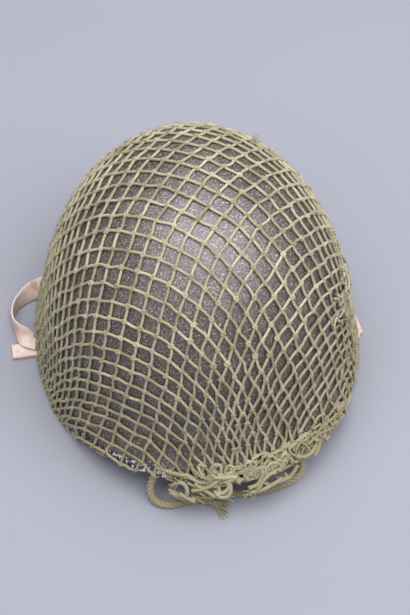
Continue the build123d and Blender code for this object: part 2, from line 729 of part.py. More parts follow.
# Nape strap across the back of the liner, held by a rivet at each end
nape_growth = liner_inner_growth - harness_clearance
nape_wall = wall(nape_growth, nape_growth - webbing_thickness, 0.0)
with BuildPart() as nape_block:
    with BuildSketch(Plane.XY.offset(nape_strap_level)):
        with Locations((0, (rim_reach + overrun) / 2)):
            Rectangle(2 * nape_strap_half_span, rim_reach + overrun)
    extrude(amount=nape_strap_width)
with BuildPart() as nape_strap:
    add(nape_wall)
    add(nape_block.part, mode=Mode.INTERSECT)
    add(stud_bores, mode=Mode.SUBTRACT)
nape_strap.part.label = "nape_strap"
export_step(nape_strap.part, "parts/nape_strap.step")

nape_grip = (liner_growth - nape_growth + webbing_thickness) + rivet_head_height / 2
with BuildPart() as nape_rivets:
    for heading in stud_headings:
        plane = wall_plane(heading, nape_middle)
        with BuildSketch(plane.offset(-nape_grip)):
            Circle(rivet_shank_diameter / 2)
        extrude(amount=nape_grip + rivet_clearance)
        with BuildSketch(plane.offset(rivet_clearance)):
            Circle(rivet_head_diameter / 2)
        extrude(amount=rivet_head_height, taper=rivet_head_taper)
nape_rivets.part.label = "nape_rivets"
export_step(nape_rivets.part, "parts/nape_rivets.step")
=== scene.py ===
import math
import bpy
import numpy as np
from mathutils import Matrix, Vector


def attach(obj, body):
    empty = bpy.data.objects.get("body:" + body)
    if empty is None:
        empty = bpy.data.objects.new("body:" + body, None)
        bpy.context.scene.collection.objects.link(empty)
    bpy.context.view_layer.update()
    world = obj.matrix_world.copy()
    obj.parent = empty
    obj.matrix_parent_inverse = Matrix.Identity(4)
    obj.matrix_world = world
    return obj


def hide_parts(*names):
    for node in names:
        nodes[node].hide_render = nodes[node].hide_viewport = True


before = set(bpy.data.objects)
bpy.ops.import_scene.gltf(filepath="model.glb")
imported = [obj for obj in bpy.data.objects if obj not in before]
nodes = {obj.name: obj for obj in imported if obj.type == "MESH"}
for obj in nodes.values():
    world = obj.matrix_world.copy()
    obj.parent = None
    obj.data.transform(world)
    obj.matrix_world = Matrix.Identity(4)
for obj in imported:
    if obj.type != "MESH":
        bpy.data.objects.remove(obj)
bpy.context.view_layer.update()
mm = 0.001
chance = np.random.default_rng(7)


def linear(hexColour):
    parts = [int(hexColour[k:k + 2], 16) / 255 for k in (0, 2, 4)]
    return tuple(p / 12.92 if p <= 0.04045 else ((p + 0.055) / 1.055) ** 2.4 for p in parts) + (1.0,)


def addNode(tree, kind, inputs=None, links=None, **options):
    node = tree.nodes.new(kind)
    for key, value in options.items():
        setattr(node, key, value)
    for key, value in (inputs or {}).items():
        node.inputs[key].default_value = value
    for key, socket in (links or {}).items():
        tree.links.new(socket, node.inputs[key])
    return node


def newMaterial(name):
    material = bpy.data.materials.new(name)
    material.use_nodes = True
    tree = material.node_tree
    tree.nodes.clear()
    place = addNode(tree, "ShaderNodeTexCoord").outputs["Object"]
    return material, tree, place


# Colour, roughness and bump join in one Principled shader
def closeMaterial(tree, colour, bump=None, roughness=None, **fixed):
    named = {key.replace("_", " "): value for key, value in fixed.items()}
    shader = addNode(tree, "ShaderNodeBsdfPrincipled", inputs=named)
    if isinstance(colour, tuple):
        shader.inputs["Base Color"].default_value = colour
    else:
        tree.links.new(colour, shader.inputs["Base Color"])
    if roughness is not None:
        tree.links.new(roughness, shader.inputs["Roughness"])
    if bump is not None:
        tree.links.new(bump, shader.inputs["Normal"])
    addNode(tree, "ShaderNodeOutputMaterial", links={"Surface": shader.outputs[0]})
def noiseFac(tree, place, sizeMm, detail=2.0):
    return addNode(tree, "ShaderNodeTexNoise", inputs={"Scale": 1 / (sizeMm * mm), "Detail": detail},
                   links={"Vector": place}).outputs["Fac"]


def rampOf(tree, value, stops):
    ramp = addNode(tree, "ShaderNodeValToRGB", links={"Fac": value})
    ramp.color_ramp.elements.remove(ramp.color_ramp.elements[1])
    for number, (position, colour) in enumerate(stops):
        stop = ramp.color_ramp.elements[0] if number == 0 else ramp.color_ramp.elements.new(position)
        stop.position, stop.color = position, linear(colour)
    return ramp.outputs["Color"]


def remap(tree, value, low, high, toLow, toHigh):
    return addNode(tree, "ShaderNodeMapRange", links={"Value": value},
                   inputs={"From Min": low, "From Max": high, "To Min": toLow, "To Max": toHigh}).outputs[0]


def joinMath(tree, operation, a, b):
    node = addNode(tree, "ShaderNodeMath", operation=operation, links={0: a})
    if isinstance(b, float):
        node.inputs[1].default_value = b
    else:
        tree.links.new(b, node.inputs[1])
    return node.outputs[0]


def bumpOf(tree, height, strength, depthMm):
    return addNode(tree, "ShaderNodeBump", inputs={"Strength": strength, "Distance": depthMm * mm},
                   links={"Height": height}).outputs[0]


# A plain colour over another, as far as the factor says
def coverColour(tree, factor, under, over):
    mixed = addNode(tree, "ShaderNodeMix", data_type="RGBA", links={0: factor, 6: under})
    mixed.inputs[7].default_value = linear(over)
    return mixed.outputs[2]
def makeMesh(name, points, faces, smooth=True):
    mesh = bpy.data.meshes.new(name)
    mesh.from_pydata([tuple(p) for p in points], [], [tuple(int(v) for v in f) for f in faces])
    mesh.polygons.foreach_set("use_smooth", [smooth] * len(mesh.polygons))
    mesh.update()
    piece = bpy.data.objects.new(name, mesh)
    bpy.context.scene.collection.objects.link(piece)
    return piece


def finishPiece(piece, body, material, standsFor=()):
    piece.data.materials.append(material)
    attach(piece, body)
    if standsFor:
        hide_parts(*standsFor)


# Camera: yaw, height and roll in degrees, and the picture's middle and focal length in its pixels
view = dict(yaw=-12.1, height=58.21, roll=-2.82, away=1.2, aim=(0, 0, 0.06), lens=97.42, sensor=36,
            centreRight=7.7, centreDown=16.09, pixels=1664.2)
yaw, tall, roll = (math.radians(view[key]) for key in ("yaw", "height", "roll"))
back = Vector((math.sin(yaw) * math.cos(tall), -math.cos(yaw) * math.cos(tall), math.sin(tall)))
flatRight = Vector((math.cos(yaw), math.sin(yaw), 0))
flatUp = back.cross(flatRight)
right = flatRight * math.cos(roll) - flatUp * math.sin(roll)
up = flatRight * math.sin(roll) + flatUp * math.cos(roll)
looking = -back + right * view["centreRight"] / view["pixels"] - up * view["centreDown"] / view["pixels"]
behind = -looking.normalized()
sideways = (right - behind * right.dot(behind)).normalized()
upward = behind.cross(sideways)
cameraData = bpy.data.cameras.new("studioCamera")
cameraData.lens = view["lens"]
cameraData.sensor_width = view["sensor"]
camera = bpy.data.objects.new("studioCamera", cameraData)
bpy.context.scene.collection.objects.link(camera)
camera.rotation_mode = "QUATERNION"
turn = Matrix((sideways, upward, behind)).transposed()
camera.rotation_quaternion = turn.to_quaternion()
camera.location = Vector(view["aim"]) + back * view["away"]
bpy.context.scene.camera = camera
print("camera ready")


# A wide soft box overhead, two smaller ones at the sides, a weak one in front, and pale even surroundings
light = dict(surround="dfe2ee", surroundStrength=0.45, floorColour="8d8e93", floorHalf=4, aim=(0, 0, 0.05),
             boxes=(("rightBox", (0.95, -0.5, 1.15), 0.8, 8.0, "f6f6ff"),
                    ("leftBox", (-0.95, -0.45, 1.15), 0.8, 4.0, "f6f6ff"),
                    ("overhead", (0.1, 0.1, 1.5), 1.7, 42.0, "f6f6ff"),
                    ("frontFill", (0.1, -1.5, 0.7), 0.9, 1.8, "f6f6ff")))
world = bpy.data.worlds.new("studio")
bpy.context.scene.world = world
world.use_nodes = True
surround = world.node_tree.nodes["Background"]
surround.inputs["Color"].default_value = linear(light["surround"])
surround.inputs["Strength"].default_value = light["surroundStrength"]
for name, place, width, power, colour in light["boxes"]:
    lamp = bpy.data.lights.new(name, "AREA")
    lamp.shape, lamp.size, lamp.energy, lamp.color = "SQUARE", width, power, linear(colour)[:3]
    holder = bpy.data.objects.new(name, lamp)
    holder.location = place
    holder.rotation_mode = "QUATERNION"
    holder.rotation_quaternion = (Vector(light["aim"]) - Vector(place)).to_track_quat("-Z", "Y")
    bpy.context.scene.collection.objects.link(holder)
bpy.context.scene.view_settings.view_transform = "Standard"

half = light["floorHalf"]
corners = [(-half, -half, 0), (half, -half, 0), (half, half, 0), (-half, half, 0)]
floor = makeMesh("studioFloor", corners, [(0, 1, 2, 3)])
floorPaint, tree, place = newMaterial("matt paper backdrop")
closeMaterial(tree, linear(light["floorColour"]), Roughness=0.85)
floor.data.materials.append(floorPaint)
print("light and floor ready")


# Surfaces of the pot, in millimetres, as the solids have them
pot = dict(crown=176, side=113, front=122, rear=134, steel=1.1, crownPower=2.1, girthPower=2.3,
           sideFlare=6, visorFlare=18, rearFlare=8, visorStart=24, flareHeight=45, rearFlareHeight=40,
           lip=30, reach=140,
           rimLine=((-1.25, 1.02), (-1.05, 1.0), (-0.86, 0.85), (-0.66, 0.52), (-0.52, 0.22), (-0.4, 0.075),
                    (-0.19, 0.155), (0.0, 0.205), (0.36, 0.25), (0.72, 0.19), (1.0, 0.075), (1.2, 0.03)))


def flareLeft(level, start, height):
    return (1 - np.clip((level - start) / height, 0, 1)) ** 2


# Half width, reach to the front and reach to the rear at a level of the pot
def potReach(level, growth, flare=1.0, crown=None):
    share = np.clip(level / (pot["crown"] + (growth if crown is None else crown)), 0, 1)
    girth = (1 - share ** pot["crownPower"]) ** (1 / pot["girthPower"])
    sideLeft = flareLeft(level, 0, pot["flareHeight"])
    visorLeft = flareLeft(level, pot["visorStart"], pot["flareHeight"])
    rearLeft = flareLeft(level, 0, pot["rearFlareHeight"])
    return (girth * (pot["side"] + growth) + flare * pot["sideFlare"] * sideLeft,
            girth * (pot["front"] + growth) + flare * pot["visorFlare"] * visorLeft,
            girth * (pot["rear"] + growth) + flare * pot["rearFlare"] * rearLeft)


# Above nought outside the pot, grown outward, and under nought inside it
def outsideBy(points, growth, farOut=9.0):
    side, front, rear = potReach(points[:, 2], growth)
    end = np.where(points[:, 1] < 0, front, rear)
    share = np.hypot(points[:, 0] / np.maximum(side, 1e-3), points[:, 1] / np.maximum(end, 1e-3))
    return np.where(points[:, 2] > pot["crown"] + growth, farOut, share) - 1


# Moves points onto the pot's surface, grown outward, along rays from inside
def ontoPot(points, growth, centreLevel=60, nearest=0.5, farthest=1.6, halvings=26):
    centre = np.zeros_like(points)
    centre[:, 2] = np.minimum(points[:, 2], centreLevel)
    ray = points - centre
    low, high = np.full(len(points), nearest), np.full(len(points), farthest)
    for step in range(halvings):
        middle = (low + high) / 2
        outside = outsideBy(centre + ray * middle[:, None], growth) > 0
        high, low = np.where(outside, middle, high), np.where(outside, low, middle)
    return centre + ray * ((low + high) / 2)[:, None]


# Straight out of the pot at points on it or just over it
def potNormal(points, growth=1.6, shift=0.4, crownBand=0.5):
    slope = np.zeros_like(points)
    here = outsideBy(points, growth)
    for axis in range(3):
        moved = points.copy()
        moved[:, axis] -= shift
        slope[:, axis] = here - outsideBy(moved, growth)
    slope[points[:, 2] > pot["crown"] - crownBand] = (0, 0, 1)
    return slope / np.maximum(np.linalg.norm(slope, axis=1, keepdims=True), 1e-9)


rimShares = np.array(pot["rimLine"])


def rimLevel(y):
    return pot["lip"] * np.interp(y / pot["reach"], rimShares[:, 0], rimShares[:, 1])


# Tubes along many lines at once: lines is tubes by points by 3,
# and lean is as large and points out of the surface
def tubeMesh(lines, lean, radius, sides=9, plies=3, ridge=0.1, lay=9.0):
    along = np.gradient(lines, axis=1)
    along /= np.maximum(np.linalg.norm(along, axis=2, keepdims=True), 1e-9)
    lean = lean - along * (lean * along).sum(2, keepdims=True)
    lean /= np.maximum(np.linalg.norm(lean, axis=2, keepdims=True), 1e-9)
    across = np.cross(along, lean)
    steps = np.linalg.norm(np.diff(lines, axis=1), axis=2)
    walked = np.concatenate([np.zeros((len(lines), 1)), np.cumsum(steps, axis=1)], axis=1)
    angle = np.arange(sides) * 2 * math.pi / sides
    phase = chance.random((len(lines), 1, 1)) * 6.28
    turned = angle[None, None, :] - walked[:, :, None] * 2 * math.pi / lay + phase
    size = radius * (1 + ridge * np.cos(plies * turned))
    points = (lines[:, :, None, :] + (size * np.cos(angle))[..., None] * lean[:, :, None, :]
              + (size * np.sin(angle))[..., None] * across[:, :, None, :])
    tubes, rings = lines.shape[:2]
    first = np.arange(tubes * rings).reshape(tubes, rings)[:, :-1].reshape(-1, 1) * sides
    near, far = np.arange(sides), (np.arange(sides) + 1) % sides
    corners = [first + near, first + far, first + sides + far, first + sides + near]
    quads = np.stack(corners, axis=2).reshape(-1, 4)
    # ridge height round each ply, which the twine's colour uses for painted shade in the grooves
    shade = 0.5 + 0.5 * np.cos(plies * np.broadcast_to(turned, size.shape))
    return points.reshape(-1, 3), quads, shade.reshape(-1)


# Makes a mesh from arrays in millimetres, with the tone and the ridge height that the twine's colour reads;
# where the ridge height is low the colour gets painted shade
def twinePiece(name, meshes, tones=None, plainTone=0.5):
    points, quads, shades, grooves, count = [], [], [], [], 0
    for number, (p, q, grooveShade) in enumerate(meshes):
        points.append(p)
        quads.append(q + count)
        shades.append(np.full(len(p), plainTone) if tones is None else tones[number])
        grooves.append(grooveShade)
        count += len(p)
    grooves = np.concatenate(grooves)
    points, quads, shades = np.concatenate(points) * mm, np.concatenate(quads), np.concatenate(shades)
    mesh = bpy.data.meshes.new(name)
    mesh.vertices.add(len(points))
    mesh.vertices.foreach_set("co", points.astype(np.float32).ravel())
    mesh.loops.add(quads.size)
    mesh.loops.foreach_set("vertex_index", quads.astype(np.int32).ravel())
    mesh.polygons.add(len(quads))
    mesh.polygons.foreach_set("loop_start", np.arange(0, quads.size, 4, dtype=np.int32))
    mesh.polygons.foreach_set("use_smooth", np.ones(len(quads), bool))
    mesh.attributes.new("twineTone", "FLOAT", "POINT").data.foreach_set("value", shades.astype(np.float32))
    mesh.attributes.new("twineRidge", "FLOAT", "POINT").data.foreach_set("value", grooves.astype(np.float32))
    mesh.update(calc_edges=True)
    mesh.validate()
    piece = bpy.data.objects.new(name, mesh)
    bpy.context.scene.collection.objects.link(piece)
    return piece


# Cotton twine, three-ply and dyed olive: soft, no gloss, each strand a little lighter or darker,
# all of it darker and browner towards the bottom, and with painted shade in the grooves between the plies
twine = dict(light="bdb493", dark="847d5d", lowColour="8c8257", grooveShade="4a4330", fibre=0.35, blotch=22,
             sheen=0.25, plainAbove=0.085, darkestBelow=0.015, lowShare=0.45, grooveShadeFrom=0.55, grooveShadeShare=0.75,
             bump=0.5, bumpDepth=0.15)
cottonTwine, tree, place = newMaterial("dyed cotton twine")
tone = addNode(tree, "ShaderNodeAttribute", attribute_name="twineTone").outputs["Fac"]
ridge = addNode(tree, "ShaderNodeAttribute", attribute_name="twineRidge").outputs["Fac"]
height = addNode(tree, "ShaderNodeSeparateXYZ", links={"Vector": place}).outputs["Z"]
blotch = noiseFac(tree, place, twine["blotch"], 3.0)
fibre = noiseFac(tree, place, twine["fibre"], 2.0)
spread = joinMath(tree, "MULTIPLY", joinMath(tree, "ADD", tone, blotch), 0.5)
colour = rampOf(tree, spread, ((0.3, twine["dark"]), (0.68, twine["light"])))
# darker and browner towards the bottom, set by height alone
lowDarkening = remap(tree, height, twine["plainAbove"], twine["darkestBelow"], 0.0, twine["lowShare"])
colour = coverColour(tree, lowDarkening, colour, twine["lowColour"])
# painted shade: the colour darkens toward a dark brown in the grooves between the plies, where the ridge
# height is low
paintedGrooveShade = remap(tree, ridge, twine["grooveShadeFrom"], 0.0, 0.0, twine["grooveShadeShare"])
colour = coverColour(tree, paintedGrooveShade, colour, twine["grooveShade"])
closeMaterial(tree, colour, bumpOf(tree, fibre, twine["bump"], twine["bumpDepth"]), Roughness=0.85,
              Sheen_Weight=twine["sheen"], Sheen_Roughness=0.5, Specular_IOR_Level=0.25)


# Free ends of the drawcord, in millimetres: the routes of the solids, laid as one smooth line each
cords = dict(diameter=5.5, lay=11, frayThreads=46, frayLength=11, fraySpread=0.36, frayRadius=0.42,
             frayDrop=0.15, frayInside=4, pathStep=2.0,
             left=((-50, -121.2, 23.7), (-52, -122.5, 17.5), (-54, -125.5, 10.8),
                   (-53.6, -130, 5.8), (-50, -134.2, 3.3), (-44, -136.8, 2.85),
                   (-37.5, -137.3, 2.8), (-31, -136.0, 2.85), (-24.5, -135.3, 2.8),
                   (-17.8, -136.5, 2.85), (-11.5, -139.3, 2.8), (-6, -143, 2.85)),
             right=((52, -120.3, 23.6), (54.5, -121.5, 17.5), (56, -124, 10.8),
                    (54.5, -128, 5.8), (49.5, -131.2, 3.3), (42.5, -133.6, 2.85),
                    (34.5, -135.4, 2.8), (26, -136.6, 2.85), (17, -136.8, 2.8),
                    (8.5, -136.1, 2.85), (1, -135, 4.2), (-5.5, -134.2, 8.2),
                    (-10.2, -134, 13.8), (-13, -134.3, 19.8), (-14, -134.7, 25.9)))


def smoothLine(route):
    curve = bpy.data.curves.new("route", "CURVE")
    curve.dimensions = "3D"
    curve.resolution_u = 10
    spline = curve.splines.new("NURBS")
    spline.points.add(len(route) - 1)
    for point, place in zip(spline.points, route):
        point.co = (place[0] * mm, place[1] * mm, place[2] * mm, 1)
    spline.order_u = 3
    spline.use_endpoint_u = True
    holder = bpy.data.objects.new("route", curve)
    mesh = bpy.data.meshes.new_from_object(holder)
    line = np.array([tuple(v.co) for v in mesh.vertices])
    bpy.data.objects.remove(holder)
    bpy.data.meshes.remove(mesh)
    return line / mm


def evenly(line, step):
    walked = np.concatenate([[0], np.cumsum(np.linalg.norm(np.diff(line, axis=0), axis=1))])
    marks = np.linspace(0, walked[-1], max(int(walked[-1] / step), 2) + 1)
    return np.stack([np.interp(marks, walked, line[:, axis]) for axis in range(3)], axis=1)


# A rope of strands wound round a line
def ropeMeshes(line, radius, lay, step=0.9, strands=3, strandReach=0.5, strandRadius=0.54):
    line = evenly(line, step)
    along = np.gradient(line, axis=0)
    along /= np.linalg.norm(along, axis=1, keepdims=True)
    lean = np.zeros_like(line)
    lean[0] = np.cross(along[0], (0.3, 0.2, 0.93))
    for number in range(len(line)):
        carried = lean[max(number - 1, 0)]
        carried = carried - along[number] * carried.dot(along[number])
        lean[number] = carried / np.linalg.norm(carried)
    across = np.cross(along, lean)
    walked = np.arange(len(line)) * np.linalg.norm(line[1] - line[0])
    meshes = []
    for strand in range(strands):
        angle = walked * 2 * math.pi / lay + strand * 2 * math.pi / strands
        offset = strandReach * radius * (np.cos(angle)[:, None] * lean + np.sin(angle)[:, None] * across)
        meshes.append(tubeMesh((line + offset)[None], (offset / radius)[None], strandRadius * radius,
                               sides=10, plies=4, ridge=0.06, lay=lay * 0.6))
    return meshes


fray = dict(shortest=0.45, longer=0.55, bend=0.22, points=9, scatter=0.9, scatterStart=0.3, floorGap=0.15)


# Loose fibres that splay from a cut end
def frayMeshes(end, along, count, length, spreadOut, radius, down=0.0):
    lines = []
    marks = np.linspace(0, 1, fray["points"])[:, None]
    for number in range(count):
        course = along + chance.normal(0, spreadOut, 3)
        course[2] -= down
        course /= np.linalg.norm(course)
        reachOut = length * (fray["shortest"] + fray["longer"] * chance.random())
        bend = chance.normal(0, fray["bend"], 3)
        scatter = chance.normal(0, fray["scatter"], 3) * (fray["scatterStart"] + marks)
        line = end + scatter + course * reachOut * marks + bend * reachOut * marks ** 2
        line[:, 2] = np.maximum(line[:, 2], radius * 1.1 + fray["floorGap"])
        lines.append(line)
    lines = np.array(lines)
    lean = np.zeros_like(lines)
    lean[..., 2], lean[..., 0] = 1, 0.2
    return [tubeMesh(lines, lean, radius, sides=5, plies=2, ridge=0.1, lay=5)]


for side in ("left", "right"):
    line = smoothLine(cords[side])
    rope = twinePiece("drawcordRope_" + side, ropeMeshes(line, cords["diameter"] / 2, cords["lay"]))
    finishPiece(rope, "pot", cottonTwine, ("drawcord_" + side,))
    if side == "left":
        along = (line[-1] - line[-3]) / np.linalg.norm(line[-1] - line[-3])
        start = line[-1] - along * cords["frayInside"]
        fibres = frayMeshes(start, along, cords["frayThreads"], cords["frayLength"], cords["fraySpread"],
                            cords["frayRadius"], cords["frayDrop"])
        cutEnd = twinePiece("drawcordFray", fibres)
        finishPiece(cutEnd, "pot", cottonTwine)


# The net, in millimetres: knotted square mesh that hangs from the dome,
# each knot one mesh side from its neighbours
net = dict(mesh=12.2, twine=0.95, lift=1.75, reach=25, shrink=0.17, shrinkFrom=4, shrinkOver=12,
           slackShare=0.3, wander=0.32, tuck=9.5, knot=1.0, edgeGap=0.55, floorGap=0.97, points=11,
           lowest=-40, stretch=0.985, ridge=0.16, lay=6, sectors=3, sides=9, toneSpread=0.16,
           tightFrom=6, tightTo=13, tightBy=0.5, aboveDrawcord=1.5, downMeet=8, acrossMeet=4,
           # two strands that set how the mesh lies: one from the wearer's front right over the crown,
           # and one from the right side over the crown to the front left;
           # they cross at the points that the two meet values count
           downStrand=((-61, -113, 24), (-54, -110, 42), (-50.5, -108.5, 52), (-47, -105, 66),
                       (-40.8, -97, 98), (-35.5, -86.3, 123), (-24.8, -66.3, 151), (-15.4, -50.9, 165),
                       (-3.9, -32.8, 173), (10.9, -16.6, 176), (24.9, 0, 175), (41.9, 13.5, 168)),
           acrossStrand=((-74.8, 18.8, 140), (-58, 9, 158), (-39.8, -3.8, 170), (-19.8, -18.8, 175),
                         (-3.9, -32.8, 173), (10.2, -48.4, 167), (21.4, -62.5, 156), (32.3, -76, 138),
                         (40.1, -86, 120), (48.4, -94.3, 95), (55, -98.5, 76), (62, -104, 50),
                         (66, -107, 26)))


# Meshes away from the middle are slacker, so their knots lie closer
def meshSide(number):
    slack = np.clip((np.abs(number) - net["shrinkFrom"]) / net["shrinkOver"], 0, 1)
    return net["mesh"] * (1 - net["shrink"] * slack)


# Knots at even spacing from one point outward along a strand, then straight on over the dome
def knotsAlong(points, count):
    spans = [np.linspace(a, b, 12, endpoint=False) for a, b in zip(points, points[1:])]
    fine = np.concatenate(spans + [points[-1:]])
    for turn in range(30):
        fine[1:-1] = (fine[:-2] + 2 * fine[1:-1] + fine[2:]) / 4
    fine = ontoPot(fine, net["lift"])
    knots, place = [fine[0]], 1
    while len(knots) <= count and place < len(fine):
        gap = np.linalg.norm(fine[place] - knots[-1])
        wanted = meshSide(len(knots))
        if gap >= wanted:
            before = np.linalg.norm(fine[place - 1] - knots[-1])
            part = (wanted - before) / max(gap - before, 1e-6)
            knots.append(fine[place - 1] + (fine[place] - fine[place - 1]) * part)
        else:
            place += 1
    course = knots[-1] - knots[-2]
    while len(knots) <= count:
        here = knots[-1]
        for step in range(4):
            there = ontoPot((here + course / 4)[None, :], net["lift"])[0]
            course = (there - here) / np.linalg.norm(there - here) * meshSide(len(knots))
            here = here + course / 4
        knots.append(ontoPot(here[None, :], net["lift"])[0])
    return np.array(knots[:count + 1])


# Next knot of a mesh from its two known neighbours
def closeMesh(a, b, inner, sideA, sideB):
    knot = a + b - inner
    for turn in range(12):
        knot = ontoPot(knot, net["lift"])
        offA, offB = knot - a, knot - b
        knot = (a + offA * sideA[:, None] / np.linalg.norm(offA, axis=1, keepdims=True)
                + b + offB * sideB[:, None] / np.linalg.norm(offB, axis=1, keepdims=True)) / 2
    return ontoPot(knot, net["lift"])


def drapeNet():
    reach = net["reach"]
    size = 2 * reach + 1
    knots = np.full((size, size, 3), np.nan)
    down, across = np.array(net["downStrand"], float), np.array(net["acrossStrand"], float)
    arms = {(1, 0): down[:net["downMeet"] + 1][::-1], (-1, 0): down[net["downMeet"]:],
            (0, 1): across[net["acrossMeet"]:], (0, -1): across[:net["acrossMeet"] + 1][::-1]}
    for (i, j), points in arms.items():
        line = knotsAlong(points, reach)
        for number in range(reach + 1):
            knots[reach + i * number, reach + j * number] = line[number]
    for si in (1, -1):
        for sj in (1, -1):
            for total in range(2, 2 * reach + 1):
                i = np.arange(max(1, total - reach), min(reach, total - 1) + 1)
                j = total - i
                row, column = reach + si * i, reach + sj * j
                a, b, inner = knots[row - si, column], knots[row, column - sj], knots[row - si, column - sj]
                real = np.isfinite(a[:, 0] + b[:, 0] + inner[:, 0])
                if not real.any():
                    continue
                row, column, i, j = row[real], column[real], i[real], j[real]
                a, b, inner = a[real], b[real], inner[real]
                sideA, sideB = meshSide(i), meshSide(j)
                knot = closeMesh(a, b, inner, sideA, sideB)
                apart = np.linalg.norm(a - b, axis=1)
                lost = (knot[:, 2] < net["lowest"]) | (apart > net["stretch"] * (sideA + sideB))
                knot[lost] = np.nan
                knots[row, column] = knot
    return knots


def edgeLevel(y):
    return rimLevel(y) + net["edgeGap"]


# Net points below the rim line pass round the rim's edge and up inside it
def tuckUnder(points, lift):
    level = edgeLevel(points[:, 1])
    past = level - points[:, 2]
    under = past > 0
    moved = points.copy()
    p, past, level, lift = points[under], past[under], level[under], lift[under]
    side, front, rear = potReach(level, 0)
    end = np.where(p[:, 1] < 0, front, rear)
    share = np.hypot(p[:, 0] / side, p[:, 1] / end)
    edge = np.stack([p[:, 0] / share, p[:, 1] / share], axis=1)
    outward = np.stack([edge[:, 0] / side ** 2, edge[:, 1] / end ** 2], axis=1)
    outward /= np.linalg.norm(outward, axis=1, keepdims=True)
    radius = lift + pot["steel"] / 2
    angle = np.minimum(past / radius, math.pi)
    inward = -pot["steel"] / 2 + radius * np.cos(angle)
    moved[under, :2] = edge + outward * inward[:, None]
    drop = np.where(angle < math.pi, -radius * np.sin(angle), past - math.pi * radius)
    moved[under, 2] = np.maximum(level + drop, net["floorGap"])
    return moved


# Twine between two knots: it leaves each knot level and drops to the next, so its slack bows it uphill
def layTwine(starts, ends):
    chord = np.linalg.norm(ends - starts, axis=1)
    slack = np.clip(net["mesh"] - chord, 0, None)
    bow = net["slackShare"] * np.sqrt(3 / 8 * chord * slack)  # the rise of a shallow arc with that slack
    marks = np.linspace(0, 1, net["points"])
    lines = starts[:, None, :] + (ends - starts)[:, None, :] * marks[None, :, None]
    middle = ontoPot((starts + ends) / 2, net["lift"])
    out = potNormal(middle)
    along = (ends - starts) / chord[:, None]
    aside = np.cross(out, along)
    aside /= np.linalg.norm(aside, axis=1, keepdims=True)
    aside *= np.where(aside[:, 2] > 0, 1, -1)[:, None]
    first = bow + chance.normal(0, net["wander"], len(chord))
    second = chance.normal(0, net["wander"] * 0.6, len(chord))
    offset = first[:, None] * np.sin(marks * math.pi) + second[:, None] * np.sin(marks * 2 * math.pi)
    return lines + offset[..., None] * aside[:, None, :]


def resample(line, marks):
    return np.stack([np.interp(marks, np.arange(len(line)), line[:, axis]) for axis in range(3)], axis=1)


# Ends tubes where they reach the drawcord inside the hem
def endAtCord(lines, fewest=2):
    past = edgeLevel(lines[..., 1]) - lines[..., 2]
    for number in np.flatnonzero((past > net["tuck"]).any(axis=1)):
        over = max(int(np.argmax(past[number] > net["tuck"])), fewest)
        lines[number] = resample(lines[number], np.linspace(0, over, lines.shape[1]))
    return lines


# Lays lines on the pot, a little lower near the rim, and says which way is out at each point
def seatTwine(lines, extra=0.0, apart=0.5):
    flat = lines.reshape(-1, 3)
    above = flat[:, 2] - rimLevel(flat[:, 1])
    lift = np.interp(above, (net["tightFrom"], net["tightTo"]), (net["lift"], net["lift"] - net["tightBy"]))
    lift = lift + np.broadcast_to(extra, lines.shape[:2]).ravel()
    inner = tuckUnder(ontoPot(flat, lift), lift)
    outer = tuckUnder(ontoPot(flat, lift + apart), lift + apart)
    return inner.reshape(lines.shape), (outer - inner).reshape(lines.shape)


# Knots shift a little, most near the hem and where the net bunches, in front on the wearer's left
shift = dict(least=0.35, nearHem=0.8, hemHeight=25, bunched=0.9, bunchHeight=60, heading=-42, width=30,
             highest=200)


def shiftKnots(knots, kept):
    flat = knots[kept]
    above = np.clip(flat[:, 2] - rimLevel(flat[:, 1]), 0, shift["highest"])
    heading = np.degrees(np.arctan2(flat[:, 1], flat[:, 0]))
    bunch = np.exp(-((heading - shift["heading"]) / shift["width"]) ** 2)
    size = (shift["least"] + shift["nearHem"] * np.exp(-above / shift["hemHeight"])
            + shift["bunched"] * bunch * np.exp(-above / shift["bunchHeight"]))
    return ontoPot(flat + chance.normal(0, 1, flat.shape) * size[:, None], net["lift"])


# Tubes of twine as one piece, each with its own tone
def finishTwine(name, lines, lean, sides, toneSpread, standsFor=()):
    tubes = tubeMesh(lines, lean, net["twine"], sides=sides, ridge=net["ridge"], lay=net["lay"])
    tone = np.repeat(np.clip(chance.normal(0.5, toneSpread, len(lines)), 0, 1), lines.shape[1] * sides)
    finishPiece(twinePiece(name, [tubes], [tone]), "pot", cottonTwine, standsFor)


knots = drapeNet()
size = knots.shape[0]
past = edgeLevel(knots[..., 1]) - knots[..., 2]
kept = np.isfinite(past) & (past < net["tuck"])
knots[kept] = shiftKnots(knots, kept)
starts, ends = [], []
for stepRow, stepColumn in ((1, 0), (0, 1)):
    a, b = knots[:size - stepRow, :size - stepColumn], knots[stepRow:, stepColumn:]
    keptA, keptB = kept[:size - stepRow, :size - stepColumn], kept[stepRow:, stepColumn:]
    real = np.isfinite(a[..., 0] + b[..., 0]) & (keptA | keptB)
    first, last = a[real], b[real]
    swap = (~keptA & keptB)[real][:, None]  # so that each strand starts at a kept knot
    starts.append(np.where(swap, last, first))
    ends.append(np.where(swap, first, last))
starts, ends = np.concatenate(starts), np.concatenate(ends)
print("net knots", int(kept.sum()), "strands", len(starts))
lines, lean = seatTwine(endAtCord(layTwine(starts, ends)))
order = np.argsort(np.arctan2(starts[:, 1], starts[:, 0]))
for number, group in enumerate(np.array_split(order, net["sectors"]), start=1):
    finishTwine("netSector%d" % number, lines[group], lean[group], net["sides"], net["toneSpread"],
                ("camouflage_net",) if number == 1 else ())


